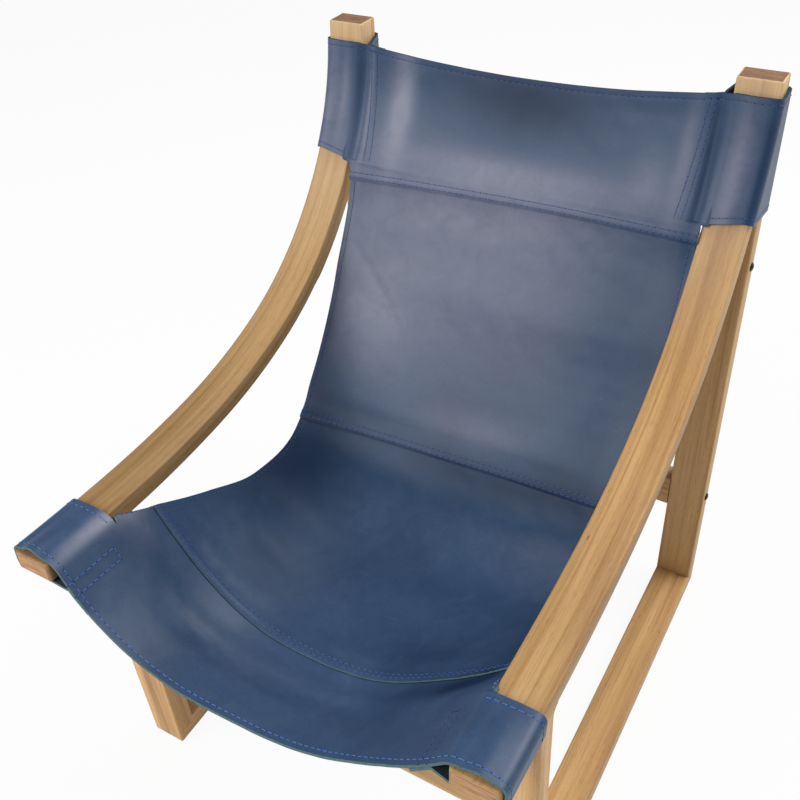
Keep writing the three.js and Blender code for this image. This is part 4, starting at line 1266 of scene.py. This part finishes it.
def thread_material(name, colour):
    """Twisted waxed thread: fine slanting strands, slightly shiny."""
    material, make = new_material(name)
    strands = stretched_noise(make, object_place(make), (1600, 1600, 1600), 2.0)
    inputs = {"Base Color": shaded(make, strands, colour, 0.6, 1.2), "Roughness": 0.5,
              "Normal": bumped(make, strands, 0.3, 0.0002)}
    return finished(material, make, inputs)


lit_thread = thread_material("blue_thread_painted_light", lit_thread_colour)
blue_thread_painted_shade = thread_material("blue_thread_painted_shade", shaded_thread_colour)
blue_thread = thread_material("blue_thread", blue_thread_colour)
# Dark lenses at the needle holes: painted shade.
needle_hole_shade = raw_leather("needle_hole_shade", hole_shade_colour, 900.0)


def row_number(points, distance):
    """Row of a grid, with its fraction, at a distance from the first row, for each column."""
    run = runs(points)
    row = np.clip((run <= distance).sum(0) - 1, 0, len(run) - 2)
    column = np.arange(points.shape[1])
    step = np.maximum(run[row + 1, column] - run[row, column], 1e-9)
    return row + np.clip((distance - run[row, column]) / step, 0, 1)


def on_grid(values, rows, columns):
    """Values at places between grid points, weighted by how near the four neighbours are."""
    r = np.clip(np.floor(rows).astype(int), 0, values.shape[0] - 2)
    c = np.clip(np.floor(columns).astype(int), 0, values.shape[1] - 2)
    down, across = (rows - r)[:, None], (columns - c)[:, None]
    upper = values[r, c] * (1 - across) + values[r, c + 1] * across
    lower = values[r + 1, c] * (1 - across) + values[r + 1, c + 1] * across
    return upper * (1 - down) + lower * down


def circle(first, second, count):
    """Unit vectors round a circle: first cos t + second sin t."""
    angle = (np.arange(count) * 2 * math.pi / count)[:, None]
    return first[..., None, :] * np.cos(angle) + second[..., None, :] * np.sin(angle)


def copied(faces, count, size, start):
    """The faces of a shape for each of its copies, whose points follow one another from a start."""
    return [[start + k * size + corner for corner in face] for k in range(count) for face in faces]


def stitches(path, normals):
    """Points and faces of the stitches and needle holes along a path on the leather.

    A stitch is a tube about centre + normal h(t), h rising as a flat arch between two holes. A hole is
    a dark lens of painted shade: a ring between a point just above the surface and one below.
    """
    run = np.concatenate([[0], np.cumsum(np.linalg.norm(np.diff(path, axis=0), axis=-1))])
    count = max(1, int(round(run[-1] / stitch_pitch)))
    pitch = run[-1] / count

    def at(distance):
        place = np.stack([np.interp(distance, run, path[:, k]) for k in range(3)], -1)
        normal = np.stack([np.interp(distance, run, normals[:, k]) for k in range(3)], -1)
        return place, unit(normal)

    t = np.linspace(0, 1, stitch_stations)
    from_hole = stitch_gap / 2 + t * (pitch - stitch_gap)
    place, normal = at(np.arange(count)[:, None] * pitch + from_hole)
    bulge = np.sin(math.pi * np.clip(t, 0.02, 0.98)) ** bulge_power
    centre = place + normal * ((bulge - thread_sink) * thread_radius * thread_lift)[:, None]
    aside = unit(np.cross(np.gradient(centre, axis=1), normal))
    radius = (thread_radius * (thread_end + (1 - thread_end) * bulge))[:, None, None]
    tubes = (centre[:, :, None] + radius * circle(aside, normal, thread_sides)).reshape(-1, 3)
    tube = tube_faces(stitch_stations, thread_sides)

    hole, normal = at(np.arange(count + 1) * pitch)
    along = unit(np.gradient(hole, axis=0))
    rim = hole[:, None] + hole_radius * circle(along, np.cross(along, normal), hole_sides)
    rim = rim - normal[:, None] * hole_sink
    crown, bottom = hole + normal * hole_crown, hole - normal * hole_depth
    lenses = np.concatenate([rim, crown[:, None], bottom[:, None]], 1)
    lens = [[k, (k + 1) % hole_sides, hole_sides] for k in range(hole_sides)]
    lens += [[(k + 1) % hole_sides, k, hole_sides + 1] for k in range(hole_sides)]
    faces = copied(tube, count, stitch_stations * thread_sides, 0)
    faces += copied(lens, count + 1, hole_sides + 2, len(tubes))
    kinds = [0] * (count * len(tube)) + [1] * ((count + 1) * len(lens))
    return np.concatenate([tubes, lenses.reshape(-1, 3)]), faces, kinds


def sew(name, outer, rows, thread):
    """One piece of stitching: the stitches of all rows on one panel, each a path in grid numbers."""
    points, faces, kinds = [], [], []
    normals = grid_normals(outer)
    for place in rows:
        path = on_grid(outer, *place)
        moved = np.linalg.norm(np.diff(path, axis=0), axis=-1) > 1e-5
        kept = np.concatenate([[True], moved])
        row_points, row_faces, row_kinds = stitches(path[kept], on_grid(normals, *place)[kept])
        faces += copied(row_faces, 1, 0, sum(len(part) for part in points))
        points.append(row_points)
        kinds += row_kinds
    points = np.concatenate(points)
    piece = new_piece(name, points, outward_each(points, faces), [thread, needle_hole_shade], None, kinds)


def outward_each(points, faces):
    """The stitches' faces, all turned round if the whole comes out inside out."""
    sample = faces[:(stitch_stations - 1) * thread_sides + 2]
    return faces if outward(points, sample) is sample else [face[::-1] for face in faces]


def row_across(number, first, last):
    """A row across a panel: its row number, with a fraction, at each column from first to last."""
    return number[first:last], np.arange(len(number), dtype=float)[first:last]


def lap_rows(outer, first, last):
    """Two rows along a lap's edge."""
    return [row_across(row_number(outer, inset), first, last) for inset in lap_insets]


def free_edge_rows(outer, first_column, first_row, last_row):
    """A row along each free side edge, counted in from the edge's column."""
    across = outer.swapaxes(0, 1)
    rows = np.arange(first_row, last_row, dtype=float)
    left = first_column + row_number(across[first_column:], row_inset)[first_row:last_row]
    from_right = first_column + row_number(across[::-1][first_column:], row_inset)[first_row:last_row]
    return [(rows, left), (rows, outer.shape[1] - 1 - from_right)]


def column_at(outer, row, x):
    """Column number of a grid where a row reaches x."""
    return np.interp(x, outer[row, panel_columns, 0], np.nonzero(panel_columns)[0])


def upright_paths(kind, outer, lines, first, last):
    """The double rows beside the wood, joined by a short stitch at one end."""
    rows = np.arange(first, last)
    paths = []
    for side in (-1, 1):
        pair = []
        for number in (0, 1):
            x = side * upright_row(kind, number, lines[rows])
            pair.append(np.array([column_at(outer, row, value) for row, value in zip(rows, x)]))
            paths.append((rows.astype(float), pair[-1]))
        paths.append((np.full(5, float(rows[-1])), np.linspace(pair[0][-1], pair[1][-1], 5)))
    return paths


pocket_rows = len(pocket_lines)
rear_number = pocket_rows - 1 - row_number(front_outer[:pocket_rows][::-1], rear_row_inset)
last_upright = int((front_lines <= pocket_end * upright_stitch_end).sum())
uprights = upright_paths("pocket", front_outer, front_lines, 0, last_upright)
front_rows = [row_across(row_number(front_outer, row_inset), flap, -flap),
              row_across(rear_number, flap, wrap_columns - 2),
              row_across(rear_number, 2 - wrap_columns, -flap)]
front_rows += free_edge_rows(front_outer, wrap_columns, pocket_rows + 4, len(front_lines) - 6)
# The front panel's rows and the left pocket's upright rows use the thread with painted light; the right
# pocket's use the one with painted shade.
sew("thread_front_edge", front_outer, front_rows + uprights[:3], lit_thread)
sew("thread_front_right_pocket", front_outer, uprights[3:], blue_thread_painted_shade)

for name, outer in {"thread_seat": seat_outer, "thread_back": back_outer}.items():
    rows = lap_rows(outer, 1, -1) + free_edge_rows(outer, 0, 12, len(outer) - 8)
    sew(name, outer, rows, blue_thread)

mouth_row = len(head_lines) - len(sleeve_lines)
top_number = len(head_lines) - 1 - row_number(head_outer[::-1], row_inset)
mouth_number = mouth_row + row_number(head_outer[mouth_row:], row_inset)
head_rows = lap_rows(head_outer, wrap_columns + 1, -wrap_columns - 1)
head_rows += [row_across(top_number, flap, -flap), row_across(mouth_number, flap, wrap_columns),
              row_across(mouth_number, -wrap_columns, -flap)]
head_rows += upright_paths("sleeve", head_outer, head_lines, mouth_row, len(head_lines) - 5)
sew("thread_head", head_outer, head_rows, blue_thread)


# Floor, light and camera.
# A pale studio floor with a soft shadow, a main lamp behind on the right, a broad one in front on the
# left, and the camera of the photograph.
floor_size = 14.0
floor_colour = (0.86, 0.86, 0.86)
white_share = 0.93
room_light = 0.27
camera_place = (0.49116, -0.39869, 1.27734)
camera_yaw, camera_pitch, camera_roll = (math.radians(angle) for angle in (32.84, 38.29, -4.09))
focal_pixels = 970.04
image_pixels = 800
principal_offset = (2.83, -13.39)
sensor_width = 36.0

floor_mesh = bpy.data.meshes.new("studio_floor")
floor_corners = [(x * floor_size, y * floor_size, 0) for x, y in ((-1, -1), (1, -1), (1, 1), (-1, 1))]
floor_mesh.from_pydata(floor_corners, [], [(0, 1, 2, 3)])
new_object("studio_floor", floor_mesh)


def background_rays(make):
    """One for rays that see the background directly, in a gloss or through glass."""
    ray = make("LightPath").outputs
    glossy = combine(make, "MAXIMUM", ray["Is Glossy Ray"], ray["Is Transmission Ray"])
    return combine(make, "MAXIMUM", ray["Is Camera Ray"], glossy)


floor_material, make = new_material("pale_floor")
matt = make("BsdfDiffuse", {"Color": floor_colour}).outputs["BSDF"]
white = make("Emission", {"Color": (1, 1, 1), "Strength": 1.0}).outputs["Emission"]
share = combine(make, "MULTIPLY", background_rays(make), white_share)
make("OutputMaterial", {"Surface": make("MixShader", {0: share, 1: matt, 2: white}).outputs["Shader"]})
floor_mesh.materials.append(floor_material)

world = bpy.data.worlds.new("studio")
bpy.context.scene.world = world
world.use_nodes = True
world.node_tree.nodes.clear()
make = node_maker(world)
room = make("Background", {"Color": (1, 1, 1), "Strength": room_light})
make("OutputWorld", {"Surface": room.outputs["Background"]})


def softbox(name, place, target, size, power):
    """A square lamp that faces a point of the chair."""
    lamp = bpy.data.lights.new(name, "AREA")
    lamp.energy, lamp.size = power, size
    piece = new_object(name, lamp)
    piece.location = place
    way = mathutils.Vector(target) - mathutils.Vector(place)
    piece.rotation_euler = way.to_track_quat("-Z", "Y").to_euler()


softbox("lamp_behind_right", (1.35, 1.4, 2.8), (0, 0, 0.4), 2.2, 80)
softbox("lamp_front_left", (-1.25, -2.2, 2.2), (0, 0.1, 0.5), 2.0, 68)

camera_data = bpy.data.cameras.new("photo_camera")
camera = new_object("photo_camera", camera_data)
turned = mathutils.Matrix.Rotation
level = turned(camera_yaw, 4, "Z") @ turned(math.pi / 2 - camera_pitch, 4, "X")
placed = mathutils.Matrix.Translation((camera_place[0], camera_place[1] + shift, camera_place[2]))
camera.matrix_world = placed @ level @ turned(camera_roll, 4, "Z")
camera_data.sensor_width = sensor_width
camera_data.lens = focal_pixels * sensor_width / image_pixels
camera_data.shift_x = -principal_offset[0] / image_pixels
camera_data.shift_y = principal_offset[1] / image_pixels
camera_data.clip_start, camera_data.clip_end = 0.01, 100
bpy.context.scene.camera = camera

bpy.context.scene.view_settings.view_transform = "Standard"
